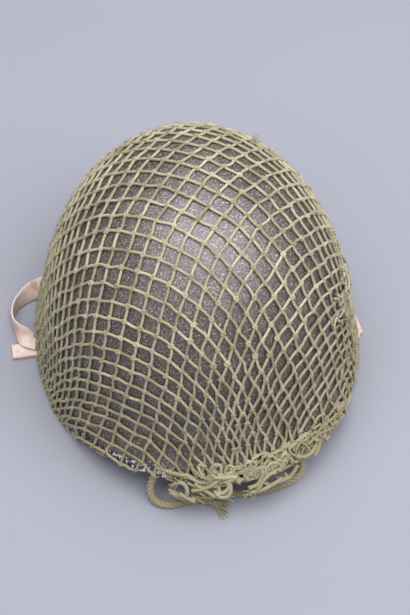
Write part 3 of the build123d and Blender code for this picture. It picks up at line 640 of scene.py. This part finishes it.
# Sheet bends: a small closed knot of twine at each meeting of strands
bend = dict(points=26, ring=0.82, wave=0.42, rise=0.5, thread=0.62, wide=1.12, narrow=0.95, larger=0.35,
            lift=0.3, lowLift=-0.1, floorGap=0.05, tone=0.42, toneSpread=0.16, ridgeLow=0.15, ridgeShare=0.6)
turnMarks = np.linspace(0, 2 * math.pi, bend["points"] + 1)[:-1]
ringReach = bend["ring"] + bend["wave"] * np.cos(3 * turnMarks)
knotLine = np.stack([ringReach * np.cos(2 * turnMarks), ringReach * np.sin(2 * turnMarks),
                     bend["rise"] * np.sin(3 * turnMarks)], axis=1)
knotLine = np.concatenate([knotLine, knotLine[:2]])
knotLean = np.tile((0.0, 0.0, 1.0), (len(knotLine), 1))
knotPoints, knotQuads, knotRidge = tubeMesh(knotLine[None], knotLean[None], bend["thread"],
                                            sides=6, ridge=0.08, lay=5)
spots = knots[kept & (past < net["tuck"] - net["aboveDrawcord"])]
lift = np.interp(spots[:, 2] - rimLevel(spots[:, 1]), (net["tightFrom"], net["tightTo"]),
                 (net["lift"] + bend["lift"], net["lift"] + bend["lowLift"]))
seat = tuckUnder(ontoPot(spots, lift), lift)
out = tuckUnder(ontoPot(spots, lift + 0.5), lift + 0.5) - seat
out /= np.linalg.norm(out, axis=1, keepdims=True)
some = np.cross(out, chance.normal(0, 1, out.shape))
some /= np.linalg.norm(some, axis=1, keepdims=True)
other = np.cross(out, some)
scale = net["knot"] * (1.0 + bend["larger"] * chance.random(len(spots)))
wide = knotPoints[None, :, 0:1] * some[:, None, :] * bend["wide"]
narrow = knotPoints[None, :, 1:2] * other[:, None, :] * bend["narrow"]
high = knotPoints[None, :, 2:3] * out[:, None, :]
placed = seat[:, None, :] + scale[:, None, None] * (wide + narrow + high)
placed[..., 2] = np.maximum(placed[..., 2], bend["floorGap"])
order = np.argsort(np.arctan2(spots[:, 1], spots[:, 0]))
for number, group in enumerate(np.array_split(order, net["sectors"]), start=1):
    quads = (knotQuads[None] + (np.arange(len(group)) * len(knotPoints))[:, None, None]).reshape(-1, 4)
    tone = np.clip(chance.normal(bend["tone"], bend["toneSpread"], len(group)), 0, 1)
    # the knots' ridge heights, which set how much painted groove shade they get
    ridges = np.tile(bend["ridgeLow"] + bend["ridgeShare"] * knotRidge, len(group))
    piece = twinePiece("netKnots%d" % number, [(placed[group].reshape(-1, 3), quads, ridges)],
                       [np.repeat(tone, len(knotPoints))])
    finishPiece(piece, "pot", cottonTwine)
print("net laid", len(lines), "strands", len(spots), "knots")


# Hem: the drawcord's run inside the tucked meshes, and the bundle where it is drawn tight
hem = dict(cord=1.2, cordLay=6, inward=3.1, rise=1.0, bundleFrom=-97, bundleTo=-44, bundleStrands=150,
           bundleHigh=13, bundleLow=-1.5, bundleReach=2.0, curl=0.16, waver=0.12, shortest=12, longest=26,
           step=1.1, heapLow=0.3, heapHigh=4.2, heapArch=0.8, sides=8, toneSpread=0.2)
curlPoints = 20
headings = np.radians(np.linspace(0, 360, 361))
ring = np.stack([np.cos(headings), np.sin(headings)], axis=1)
level = np.full(len(ring), 8.0)
for turn in range(8):
    side, front, rear = potReach(level, -hem["inward"])
    end = np.where(ring[:, 1] < 0, front, rear)
    reachOut = 1 / np.hypot(ring[:, 0] / side, ring[:, 1] / end)
    level = rimLevel(ring[:, 1] * reachOut) + hem["rise"]
cordRun = np.stack([ring[:, 0] * reachOut, ring[:, 1] * reachOut, level], axis=1)
hemCord = twinePiece("hemCord", ropeMeshes(cordRun, hem["cord"], hem["cordLay"], step=1.0))
finishPiece(hemCord, "pot", cottonTwine, ("net_hem",))


# Point over the rim at a heading, found in steps because the rim's level changes with its place
def rimPlace(heading, growth, rises, startLevel=28.0):
    level = startLevel
    for rise in rises:
        side, front, rear = potReach(level, growth)
        reachOut = 1 / math.hypot(math.cos(heading) / side, math.sin(heading) / front)
        level = rimLevel(reachOut * math.sin(heading)) + rise
    return np.array([reachOut * math.cos(heading), reachOut * math.sin(heading), level])


# A line that wanders over the pot, its course turning by the curl and by chance at each step
def curlLine(here, out, course, curl, waver, count, step):
    line = []
    for number in range(count):
        line.append(here.copy())
        turnBy = curl + chance.normal(0, waver)
        course = course * math.cos(turnBy) + np.cross(out, course) * math.sin(turnBy)
        here = here + course * step
    return np.array(line)


# How far the curls of a heap lie over the net, each arched in its middle
def heapOf(count, low, high, arch):
    arched = arch * np.sin(np.linspace(0, math.pi, curlPoints))
    return chance.uniform(low, high, count)[:, None] + arched[None, :]


bundle = []
for number in range(hem["bundleStrands"]):
    heading = math.radians(chance.uniform(hem["bundleFrom"], hem["bundleTo"]))
    above = hem["bundleHigh"] * chance.random() ** 1.8 + hem["bundleLow"]
    here = rimPlace(heading, hem["bundleReach"], [above] * 6)
    out = np.array([math.cos(heading), math.sin(heading), 0.15])
    course = np.cross(out, chance.normal(0, 1, 3))
    course /= np.linalg.norm(course)
    curl = chance.normal(0, hem["curl"])
    count = int(chance.integers(hem["shortest"], hem["longest"]))
    line = curlLine(here, out, course, curl, hem["waver"], count, hem["step"])
    bundle.append(resample(line, np.linspace(0, len(line) - 1, curlPoints)))
bundle = np.array(bundle)
heap = heapOf(len(bundle), hem["heapLow"], hem["heapHigh"], hem["heapArch"])
bundle[..., 2] -= np.clip(bundle[..., 2] - rimLevel(bundle[..., 1]) - hem["bundleHigh"], 0, None)
finishTwine("hemBundle", *seatTwine(endAtCord(bundle), heap), hem["sides"], hem["toneSpread"])

# Knotted tangle of cord over the visor's edge, with cut ends, and two frayed tufts higher up
tangle = dict(pieces=26, first=-108, last=-62, radius=1.35, lift=3.4, low=-6, high=5, step=1.2, lay=7,
              ridge=0.18, curl=0.16, waver=0.1, heapHigh=3.5, heapArch=1.2, under=3, tall=16, sides=12,
              frayThreads=12, frayLength=8, fraySpread=0.4, frayRadius=0.36, frayDrop=0.25,
              tufts=((47, 61, 149), (90, -3, 118.5)), tuftThreads=16, tuftLength=5, tuftSpread=0.5,
              tuftRadius=0.34)
courses = []
for number in range(tangle["pieces"]):
    heading = math.radians(chance.uniform(tangle["first"], tangle["last"]))
    rises = chance.uniform(tangle["low"], tangle["high"], 6)
    rises[:-1] = 0
    here = rimPlace(heading, tangle["lift"], rises)
    out = np.array([math.cos(heading), math.sin(heading), 0.1])
    course = np.array([-math.sin(heading), math.cos(heading), chance.normal(-0.2, 0.5)])
    course *= (1 if chance.random() < 0.5 else -1) / np.linalg.norm(course)
    curl = chance.normal(0, tangle["curl"])
    courses.append(curlLine(here, out, course, curl, tangle["waver"], curlPoints, tangle["step"]))
courses = np.array(courses)
lowest = rimLevel(courses[..., 1]) + tangle["low"] - tangle["under"]
courses[..., 2] = np.clip(courses[..., 2], lowest, lowest + tangle["tall"])
lift = tangle["lift"] + heapOf(len(courses), 0, tangle["heapHigh"], tangle["heapArch"]).ravel()
flat = courses.reshape(-1, 3)
inner = ontoPot(flat, lift)
outer = ontoPot(flat, lift + 0.5)
tangleLines = inner.reshape(courses.shape)
tangleMeshes = [tubeMesh(tangleLines, (outer - inner).reshape(courses.shape), tangle["radius"],
                         sides=tangle["sides"], ridge=tangle["ridge"], lay=tangle["lay"])]
for line in tangleLines[::2]:
    along = (line[-1] - line[-3]) / np.linalg.norm(line[-1] - line[-3])
    tangleMeshes += frayMeshes(line[-1] - along, along, tangle["frayThreads"], tangle["frayLength"],
                               tangle["fraySpread"], tangle["frayRadius"], tangle["frayDrop"])
for place in tangle["tufts"]:
    spot = ontoPot(np.array([place], float), net["lift"])[0]
    tangleMeshes += frayMeshes(spot, potNormal(spot[None])[0], tangle["tuftThreads"], tangle["tuftLength"],
                               tangle["tuftSpread"], tangle["tuftRadius"])
hemTangle = twinePiece("hemTangle", tangleMeshes)
finishPiece(hemTangle, "pot", cottonTwine)

# Slack meshes that bunch over the wearer's left temple
bunch = dict(strands=140, middle=-14, spreadOut=11, low=6, high=95, aboveRim=2, reach=2.0, curl=0.1,
             waver=0.1, step=0.8, heapLow=0.2, heapHigh=1.6, heapArch=0.9, sides=8, toneSpread=0.2)
lines = []
for number in range(bunch["strands"]):
    heading = math.radians(chance.normal(bunch["middle"], bunch["spreadOut"]))
    level = bunch["low"] + (bunch["high"] - bunch["low"]) * chance.random() ** 1.3
    level = max(level, float(rimLevel(-20.0)) + bunch["aboveRim"])
    side, front, rear = potReach(np.array(level), bunch["reach"])
    reachOut = 1 / math.hypot(math.cos(heading) / side, math.sin(heading) / (front if heading < 0 else rear))
    here = np.array([reachOut * math.cos(heading), reachOut * math.sin(heading), level])
    sideWay = np.array([-math.sin(heading), math.cos(heading), 0])
    course = sideWay * chance.normal(0, 0.6) + (0, 0, chance.normal(0, 1))
    course /= np.linalg.norm(course)
    out = np.array([math.cos(heading), math.sin(heading), 0.2])
    curl = chance.normal(0, bunch["curl"])
    lines.append(curlLine(here, out, course, curl, bunch["waver"], curlPoints, bunch["step"]))
lines = np.array(lines)
lines[..., 2] = np.maximum(lines[..., 2], rimLevel(lines[..., 1]) + bunch["aboveRim"])
heap = heapOf(len(lines), bunch["heapLow"], bunch["heapHigh"], bunch["heapArch"])
finishTwine("templeBunch", *seatTwine(lines, heap), bunch["sides"], bunch["toneSpread"])
print("hem laid")


# Steel: enamel with sand in it, dark brown-grey, with painted highlights: pale specks in its colour
enamel = dict(grain=1.3, fine=0.7, speck=1.0, patch=18, dark="221612", middle="44342b", light="75645a",
              paintedGlint="d2c8be", paintedGlintShare=0.5, strength=0.9, depth=0.4, roughness=0.52, sparkle=0.28,
              refraction=1.95)
sandEnamel, tree, place = newMaterial("sand textured steel enamel")
grain = noiseFac(tree, place, enamel["grain"], 3.0)
fine = noiseFac(tree, place, enamel["fine"], 1.0)
speck = noiseFac(tree, place, enamel["speck"], 0.0)
patch = noiseFac(tree, place, enamel["patch"], 3.0)
mottle = joinMath(tree, "ADD", grain, joinMath(tree, "MULTIPLY", patch, 0.35))
colour = rampOf(tree, mottle, ((0.5, enamel["dark"]), (0.68, enamel["middle"]), (0.86, enamel["light"])))
# painted highlights: pale specks mixed into the colour, standing in for glints off the sand
colour = coverColour(tree, remap(tree, speck, 0.67, 0.75, 0.0, enamel["paintedGlintShare"]), colour, enamel["paintedGlint"])
height = joinMath(tree, "ADD", grain, joinMath(tree, "MULTIPLY", fine, 0.6))
closeMaterial(tree, colour, bumpOf(tree, height, enamel["strength"], enamel["depth"]),
              remap(tree, fine, 0.5, 0.68, enamel["roughness"], enamel["sparkle"]), Metallic=0.0,
              IOR=enamel["refraction"])

# The rim strip: smooth satin enamel, scuffed, with painted highlights: small near-white spots in its colour
# that stand in for reflections
rim = dict(dark="161313", light="332e2d", scuff=4.5, highlightSpots=2.4, paintedHighlight="d5d4d2", paintedHighlightShare=0.9, depth=0.9,
           smoothest=0.08, roughest=0.22, refraction=1.9)
rimEnamel, tree, place = newMaterial("satin steel enamel with painted highlights")
scuff = noiseFac(tree, place, rim["scuff"], 4.0)
highlightSpots = noiseFac(tree, place, rim["highlightSpots"], 1.0)
colour = rampOf(tree, scuff, ((0.35, rim["dark"]), (0.7, rim["light"])))
# painted highlights: small near-white spots mixed into the colour, standing in for reflections
colour = coverColour(tree, remap(tree, highlightSpots, 0.54, 0.6, 0.0, rim["paintedHighlightShare"]), colour, rim["paintedHighlight"])
closeMaterial(tree, colour, bumpOf(tree, scuff, 1.0, rim["depth"]),
              remap(tree, scuff, 0.3, 0.75, rim["smoothest"], rim["roughest"]), IOR=rim["refraction"])

# Tint, middle roughness, how metallic and the size of the stains
metals = (("dull brass", "a58a55", 0.38, 1.0, 1.2), ("blackened spring steel", "55524c", 0.42, 0.9, 0.9))
madeMetals = []
for title, tint, roughness, metallic, spot in metals:
    material, tree, place = newMaterial(title)
    stain = noiseFac(tree, place, spot, 4.0)
    closeMaterial(tree, linear(tint), bumpOf(tree, stain, 0.12, 0.05),
                  remap(tree, stain, 0.3, 0.7, roughness - 0.1, roughness + 0.15), Metallic=metallic)
    madeMetals.append(material)
brass, springSteel = madeMetals

linerPaint = dict(dark="3b3d2c", light="4b4d38", grain=0.9, patch=25)
fibrePaint, tree, place = newMaterial("painted resin fibre")
grain = noiseFac(tree, place, linerPaint["grain"], 3.0)
patch = noiseFac(tree, place, linerPaint["patch"], 3.0)
closeMaterial(tree, rampOf(tree, patch, ((0.35, linerPaint["dark"]), (0.65, linerPaint["light"]))),
              bumpOf(tree, grain, 0.3, 0.1), Roughness=0.62)

hardNodes = ((sandEnamel, "painted_steel", ("steel_shell", "bail_plate_left", "bail_plate_right")),
             (rimEnamel, "rim_steel", ("rim_channel",)),
             (rimEnamel, "painted_steel", ("bail_left", "bail_right")),
             (brass, "brass", ("chinstrap_tip", "chinstrap_buckle", "buckle_prong", "brow_eyelet")),
             (fibrePaint, "liner_fibre", ("liner_shell",)),
             (springSteel, "plain_steel", ("harness_washers", "sweatband_clips", "harness_rivets",
                                           "nape_rivets")))
for material, slotName, names in hardNodes:
    for name in names:
        nodes[name].data.materials.clear()
        nodes[name].data.materials.append(material)
print("steel, brass and fibre painted")


# Chinstraps: pale oak-tanned leather, smooth grain side out, with darker patches
hide = dict(light="dcc9b8", middle="cdb5a2", dark="a8886f", pore=0.45, crease=2.6, patch=16)
paleLeather, tree, place = newMaterial("oak tanned leather")
pore = noiseFac(tree, place, hide["pore"], 3.0)
crease = noiseFac(tree, place, hide["crease"], 4.0)
patch = noiseFac(tree, place, hide["patch"], 3.0)
stained = joinMath(tree, "ADD", joinMath(tree, "MULTIPLY", crease, 0.4),
                   joinMath(tree, "MULTIPLY", patch, 0.6))
colour = rampOf(tree, stained, ((0.3, hide["dark"]), (0.42, hide["middle"]), (0.6, hide["light"])))
closeMaterial(tree, colour, bumpOf(tree, joinMath(tree, "ADD", pore, crease), 0.3, 0.12),
              remap(tree, crease, 0.3, 0.7, 0.42, 0.6), Specular_IOR_Level=0.4)

straps = dict(width=14, thick=1.4, barInset=5.6, barLevel=7.5, wire=2.4, play=0.15, place=8, lift=0.15,
              gap=0.1,
              # the long strap's middle line, x and y as shares of the pot's reach
              # and z as a share of the strap's width, and the way its width lies
              longRoute=(
                  (-0.818, 0.057, 0.354, (0, 1, 0)), (-0.846, 0.060, 0.320, (0, 1, 0)),
                  (-0.889, 0.079, 0.465, (0.1, 0.93, 0.3)), (-0.927, 0.121, 0.545, (0.1, 0.55, 0.83)),
                  (-0.950, 0.175, 0.515, (0, 0.12, 0.99)), (-0.953, 0.236, 0.510, (0, 0, 1)),
                  (-0.925, 0.296, 0.510, (-0.1, 0.1, 0.99)), (-0.875, 0.343, 0.493, (-0.25, 0.33, 0.91)),
                  (-0.825, 0.379, 0.400, (-0.45, 0.6, 0.66)), (-0.779, 0.407, 0.257, (-0.55, 0.78, 0.3)),
                  (-0.725, 0.432, 0.157, (-0.45, 0.89, 0.05)), (-0.671, 0.446, 0.093, (-0.3, 0.95, 0))),
              runningWidth=11.6, runningFrom=104, runningTo=137.5, runningPlace=3.8, runningGap=0.3,
              foldReach=124.5, foldPlace=-18, heading=-82, run=39, back=40,
              wrapFrom=-5.4, longWrapTo=-0.3, shortWrapTo=0.2, sleeveRise=0.4, sleeveOut=0.6, sleeveIn=1.2,
              # the short strap's section: across it from its outer edge, and up or down by half its thickness
              section=((0.35, -1), (3.5, -1), (7, -1), (10.5, -1), (13.65, -1), (14, -0.3), (14, 0.3),
                       (13.65, 1), (10.5, 1), (7, 1), (3.5, 1), (0.35, 1), (0, 0.3), (0, -0.3)))


# A smooth line through points
def throughPoints(points, steps=8):
    p = np.array(points, float)
    wide = np.vstack([2 * p[0] - p[1], p, 2 * p[-1] - p[-2]])
    t = np.linspace(0, 1, steps, endpoint=False)[:, None]
    spans = []
    for a, b, c, d in zip(wide, wide[1:], wide[2:], wide[3:]):
        spans.append(0.5 * (2 * b + (c - a) * t + (2 * a - 5 * b + 4 * c - d) * t ** 2
                            + (3 * b - a - 3 * c + d) * t ** 3))
    return np.concatenate(spans + [p[-1:]])


# Joins closed loops of points into a skin, open ended, ring shaped or capped
def loftLoops(name, loops, ring=False):
    rows, count = len(loops), len(loops[0])
    faces = []
    for row in range(rows if ring else rows - 1):
        here, there = row * count, (row + 1) % rows * count
        for k in range(count):
            faces.append((here + k, here + (k + 1) % count, there + (k + 1) % count, there + k))
    if not ring:
        faces += [tuple(range(count))[::-1], tuple(range((rows - 1) * count, rows * count))]
    return makeMesh(name, np.concatenate(loops) * mm, faces)


# Flat strap along a line, with rounded edges
def strapLoops(centres, across, width, thick):
    along = np.gradient(centres, axis=0)
    along /= np.linalg.norm(along, axis=1, keepdims=True)
    across = across - along * (across * along).sum(1, keepdims=True)
    across /= np.linalg.norm(across, axis=1, keepdims=True)
    out = np.cross(along, across)
    half, edge = width / 2, thick / 2
    profile = [(-half + edge * 0.7, -edge), (-half * 0.5, -edge), (0, -edge), (half * 0.5, -edge),
               (half - edge * 0.7, -edge), (half - edge * 0.2, -edge * 0.72), (half, -edge * 0.2),
               (half, edge * 0.2), (half - edge * 0.2, edge * 0.72)]
    profile += [(-side, -up) for side, up in profile]
    return [centre + np.array([side * a + up * o for side, up in profile])
            for centre, a, o in zip(centres, across, out)]


# A strap's way round a bar, by angle in radians
def sleeveLine(x, z, radius, turn, first, last, y):
    marks = np.linspace(first, last, 20)
    return [(x - turn * radius * math.sin(mark), y, z - radius * math.cos(mark)) for mark in marks]


steelHalf = float(potReach(np.array(straps["barLevel"]), -pot["steel"])[0])
barX = steelHalf - straps["barInset"]
wrap = straps["wire"] / 2 + straps["play"] + straps["thick"] / 2
sleeve = sleeveLine(-barX, straps["barLevel"], wrap, 1, straps["wrapFrom"], straps["longWrapTo"],
                    straps["place"])
route = [(-barX, straps["place"], straps["barLevel"] - wrap)]
route += [(x * pot["reach"], y * pot["reach"], z * straps["width"])
          for x, y, z, across in straps["longRoute"]]
routeAcross = [(0, 1, 0)] + [across for x, y, z, across in straps["longRoute"]]
centres = np.concatenate([np.array(sleeve), throughPoints(route)])
across = np.concatenate([np.tile((0.0, 1.0, 0.0), (len(sleeve), 1)), throughPoints(routeAcross)])
longStrap = loftLoops("longChinstrap", strapLoops(centres, across, straps["width"], straps["thick"]))
finishPiece(longStrap, "liner", paleLeather, ("chinstrap_long",))

fold = (straps["thick"] + straps["runningGap"]) / 2
middle = straps["lift"] + straps["thick"] / 2 + fold
endX = -straps["runningTo"] + fold + straps["thick"] / 2
centres = [(-straps["runningFrom"], straps["runningPlace"], middle - fold)]
centres += [(endX - fold * math.sin(mark), straps["runningPlace"], middle - fold * math.cos(mark))
            for mark in np.linspace(0, math.pi, 12)]
centres += [(-straps["runningFrom"], straps["runningPlace"], middle + fold)]
centres = evenly(np.array(centres), 0.5)
across = np.tile((0.0, 1.0, 0.0), (len(centres), 1))
loops = strapLoops(centres, across, straps["runningWidth"], straps["thick"])
runningEnd = loftLoops("strapRunningEnd", loops)
finishPiece(runningEnd, "liner", paleLeather, ("chinstrap_running_end",))

# The short strap: round its bar, forward, folded under at 45 degrees, and back to the buckle's bar
course = np.array([math.cos(math.radians(straps["heading"])), math.sin(math.radians(straps["heading"]))])
aside = np.array([-course[1], course[0]])
turned = math.radians(straps["heading"] - 45)
foldCourse = np.array([math.cos(turned), math.sin(turned)])
foldTip = np.array([straps["foldReach"], straps["foldPlace"]])
layerOne = straps["lift"] + straps["thick"] / 2
layerTwo = layerOne + straps["thick"] + straps["gap"]
roll = (layerTwo - layerOne) / 2
foldOut = course - foldCourse * course.dot(foldCourse)
foldOut /= np.linalg.norm(foldOut)
loops = []
for along in np.arange(-straps["run"], straps["width"] + straps["back"] + 0.5, 0.6):
    loop = []
    for offset, up in straps["section"]:
        flat = foldTip + course * along - aside * offset
        past = (flat - foldTip).dot(foldOut)
        rise = up * straps["thick"] / 2
        if past <= 0:
            spot, high = flat, layerTwo + rise
        else:
            base = flat - foldOut * past
            angle = min(past / roll, math.pi)
            spot = base + foldOut * (roll + rise) * math.sin(angle)
            high = (layerOne + layerTwo) / 2 + (roll + rise) * math.cos(angle)
            if angle >= math.pi:
                spot = base - foldOut * (past - math.pi * roll)
        loop.append((spot[0], spot[1], high))
    loops.append(np.array(loop))
shortStrap = loftLoops("shortChinstrap", loops)
finishPiece(shortStrap, "liner", paleLeather, ("chinstrap_short",))
line = sleeveLine(barX, straps["barLevel"], wrap, -1, straps["wrapFrom"], straps["shortWrapTo"],
                  straps["place"])
line += [(barX + straps["sleeveOut"], straps["place"], layerTwo + straps["sleeveRise"]),
         (barX - straps["sleeveIn"], straps["place"] - 1, layerTwo)]
line = np.array(line)
across = np.tile((0.0, 1.0, 0.0), (len(line), 1))
shortSleeve = loftLoops("shortStrapSleeve", strapLoops(line, across, straps["width"], straps["thick"]))
finishPiece(shortSleeve, "liner", paleLeather)
print("straps ready")


# Head harness inside the liner: herringbone webbing, a lace at the crown and a leather sweatband
harness = dict(thick=1.4, bandGrowth=-7.8, bandLow=52, bandHigh=77, strapGrowth=-9.4, riseGrowth=-5.4,
               riseCrown=-32, strapLow=63, turnLevel=75, laceRise=1.6, laceThick=3.0, laceLay=5.0,
               laceLevel=137.27, laceReach=(29, 31.46, 34.73),
               sweatGrowth=-10.2, sweatThick=2.0, sweatLow=28, sweatHigh=60,
               napeLow=24, napeHigh=42, napeHalf=62, rounding=0.4,
               # a crown strap's section: across it, and inward as a share of its thickness
               strapSection=((-10.6, 0), (-5, 0), (0, 0), (5, 0), (10.6, 0), (11, 0.5),
                             (10.6, 1), (5, 1), (0, 1), (-5, 1), (-10.6, 1), (-11, 0.5)))
webbing = dict(light="a8a079", dark="7f7858", rib=0.9, turn=6.0)
cottonWebbing, tree, place = newMaterial("cotton herringbone webbing")
axes = addNode(tree, "ShaderNodeSeparateXYZ", links={"Vector": place})
around = addNode(tree, "ShaderNodeMath", operation="ARCTAN2",
                 links={0: axes.outputs["Y"], 1: axes.outputs["X"]}).outputs[0]
walked = joinMath(tree, "MULTIPLY", around, 0.1)
zigzag = joinMath(tree, "PINGPONG", axes.outputs["Z"], webbing["turn"] * mm)
slanted = joinMath(tree, "ADD", walked, zigzag)
rib = joinMath(tree, "PINGPONG", slanted, webbing["rib"] * mm)
ribHeight = remap(tree, rib, 0.0, webbing["rib"] * mm, 0.0, 1.0)
thread = noiseFac(tree, place, 0.6, 2.0)
shade = joinMath(tree, "ADD", joinMath(tree, "MULTIPLY", ribHeight, 0.5),
                 joinMath(tree, "MULTIPLY", thread, 0.5))
closeMaterial(tree, rampOf(tree, shade, ((0.25, webbing["dark"]), (0.75, webbing["light"]))),
              bumpOf(tree, shade, 0.5, 0.25), Roughness=0.88, Sheen_Weight=0.2, Specular_IOR_Level=0.25)

brownHide = dict(light="8a6140", dark="5c3d27", pore=0.5, patch=14)
brownLeather, tree, place = newMaterial("brown chrome tanned leather")
pore = noiseFac(tree, place, brownHide["pore"], 3.0)
patch = noiseFac(tree, place, brownHide["patch"], 3.0)
closeMaterial(tree, rampOf(tree, patch, ((0.35, brownHide["dark"]), (0.65, brownHide["light"]))),
              bumpOf(tree, pore, 0.3, 0.1), Roughness=0.45)


# Point on the liner's wall, or inside it, at a heading and a level
def wallPoint(heading, level, growth, crown=None):
    side, front, rear = potReach(np.array(float(level)), growth, 0.0, crown)
    end = front if math.sin(heading) < 0 else rear
    reachOut = 1 / math.hypot(math.cos(heading) / side, math.sin(heading) / end)
    return np.array([reachOut * math.cos(heading), reachOut * math.sin(heading), level])


# Band round the inside of the liner, its edges rounded, waving a little as soft webbing does
def bandPiece(name, headings, low, high, growth, thick, material, standsFor, ring=True):
    loops, rounding = [], harness["rounding"]
    for heading in headings:
        wave = 0.35 * math.sin(heading * 5) + 0.2 * math.sin(heading * 11 + 1)
        outer = [(level, growth) for level in np.linspace(low + rounding, high - rounding, 5)]
        inner = [(level, growth - thick) for level in np.linspace(high - rounding, low + rounding, 5)]
        section = outer + [(high, growth - thick / 2)] + inner + [(low, growth - thick / 2)]
        loops.append(np.array([wallPoint(heading, level + wave * 0.5, deep) for level, deep in section]))
    finishPiece(loftLoops(name, loops, ring), "liner", material, standsFor)


full = np.radians(np.arange(0, 360, 3))
bandPiece("harnessBand", full, harness["bandLow"], harness["bandHigh"], harness["bandGrowth"],
          harness["thick"], cottonWebbing, ("suspension_band",))
bandPiece("leatherSweatband", full, harness["sweatLow"], harness["sweatHigh"], harness["sweatGrowth"],
          harness["sweatThick"], brownLeather, ("sweatband",))
napeSpot = wallPoint(math.radians(60), (harness["napeLow"] + harness["napeHigh"]) / 2, harness["bandGrowth"])
edge = math.acos(harness["napeHalf"] / float(np.hypot(*napeSpot[:2])))
bandPiece("napeWebbing", np.linspace(edge, math.pi - edge, 40), harness["napeLow"], harness["napeHigh"],
          harness["bandGrowth"], harness["thick"], cottonWebbing, ("nape_strap",), ring=False)

for number in range(6):
    heading = math.radians(60 * number)
    levels = [(level, harness["strapGrowth"], None)
              for level in np.linspace(harness["strapLow"], harness["turnLevel"] - 1, 5)]
    highest = harness["laceLevel"] + harness["laceRise"]
    levels += [(level, harness["riseGrowth"], harness["riseCrown"])
               for level in np.linspace(harness["turnLevel"] + 1, highest, 30)]
    loops = []
    for level, growth, crown in levels:
        section = []
        for offset, deep in harness["strapSection"]:
            thick = deep * harness["thick"]
            top = None if crown is None else crown - thick
            middle = wallPoint(heading, level, growth - thick, top)
            turnBy = math.asin(min(offset / math.hypot(middle[0], middle[1]), 1))
            section.append(wallPoint(heading + turnBy, level, growth - thick, top))
        loops.append(np.array(section))
    piece = loftLoops("crownWebbing%d" % (number + 1), loops)
    finishPiece(piece, "liner", cottonWebbing, ("crown_strap_%d" % (number + 1),))

marks = np.radians(np.arange(0, 361, 4))
side, front, rear = harness["laceReach"]
laceLine = np.stack([side * np.cos(marks), np.where(np.sin(marks) < 0, front, rear) * np.sin(marks),
                     np.full(len(marks), harness["laceLevel"])], axis=1)
lace = twinePiece("crownLace", ropeMeshes(laceLine, harness["laceThick"] / 2, harness["laceLay"]))
finishPiece(lace, "liner", cottonWebbing, ("crown_lace",))
print("harness ready")
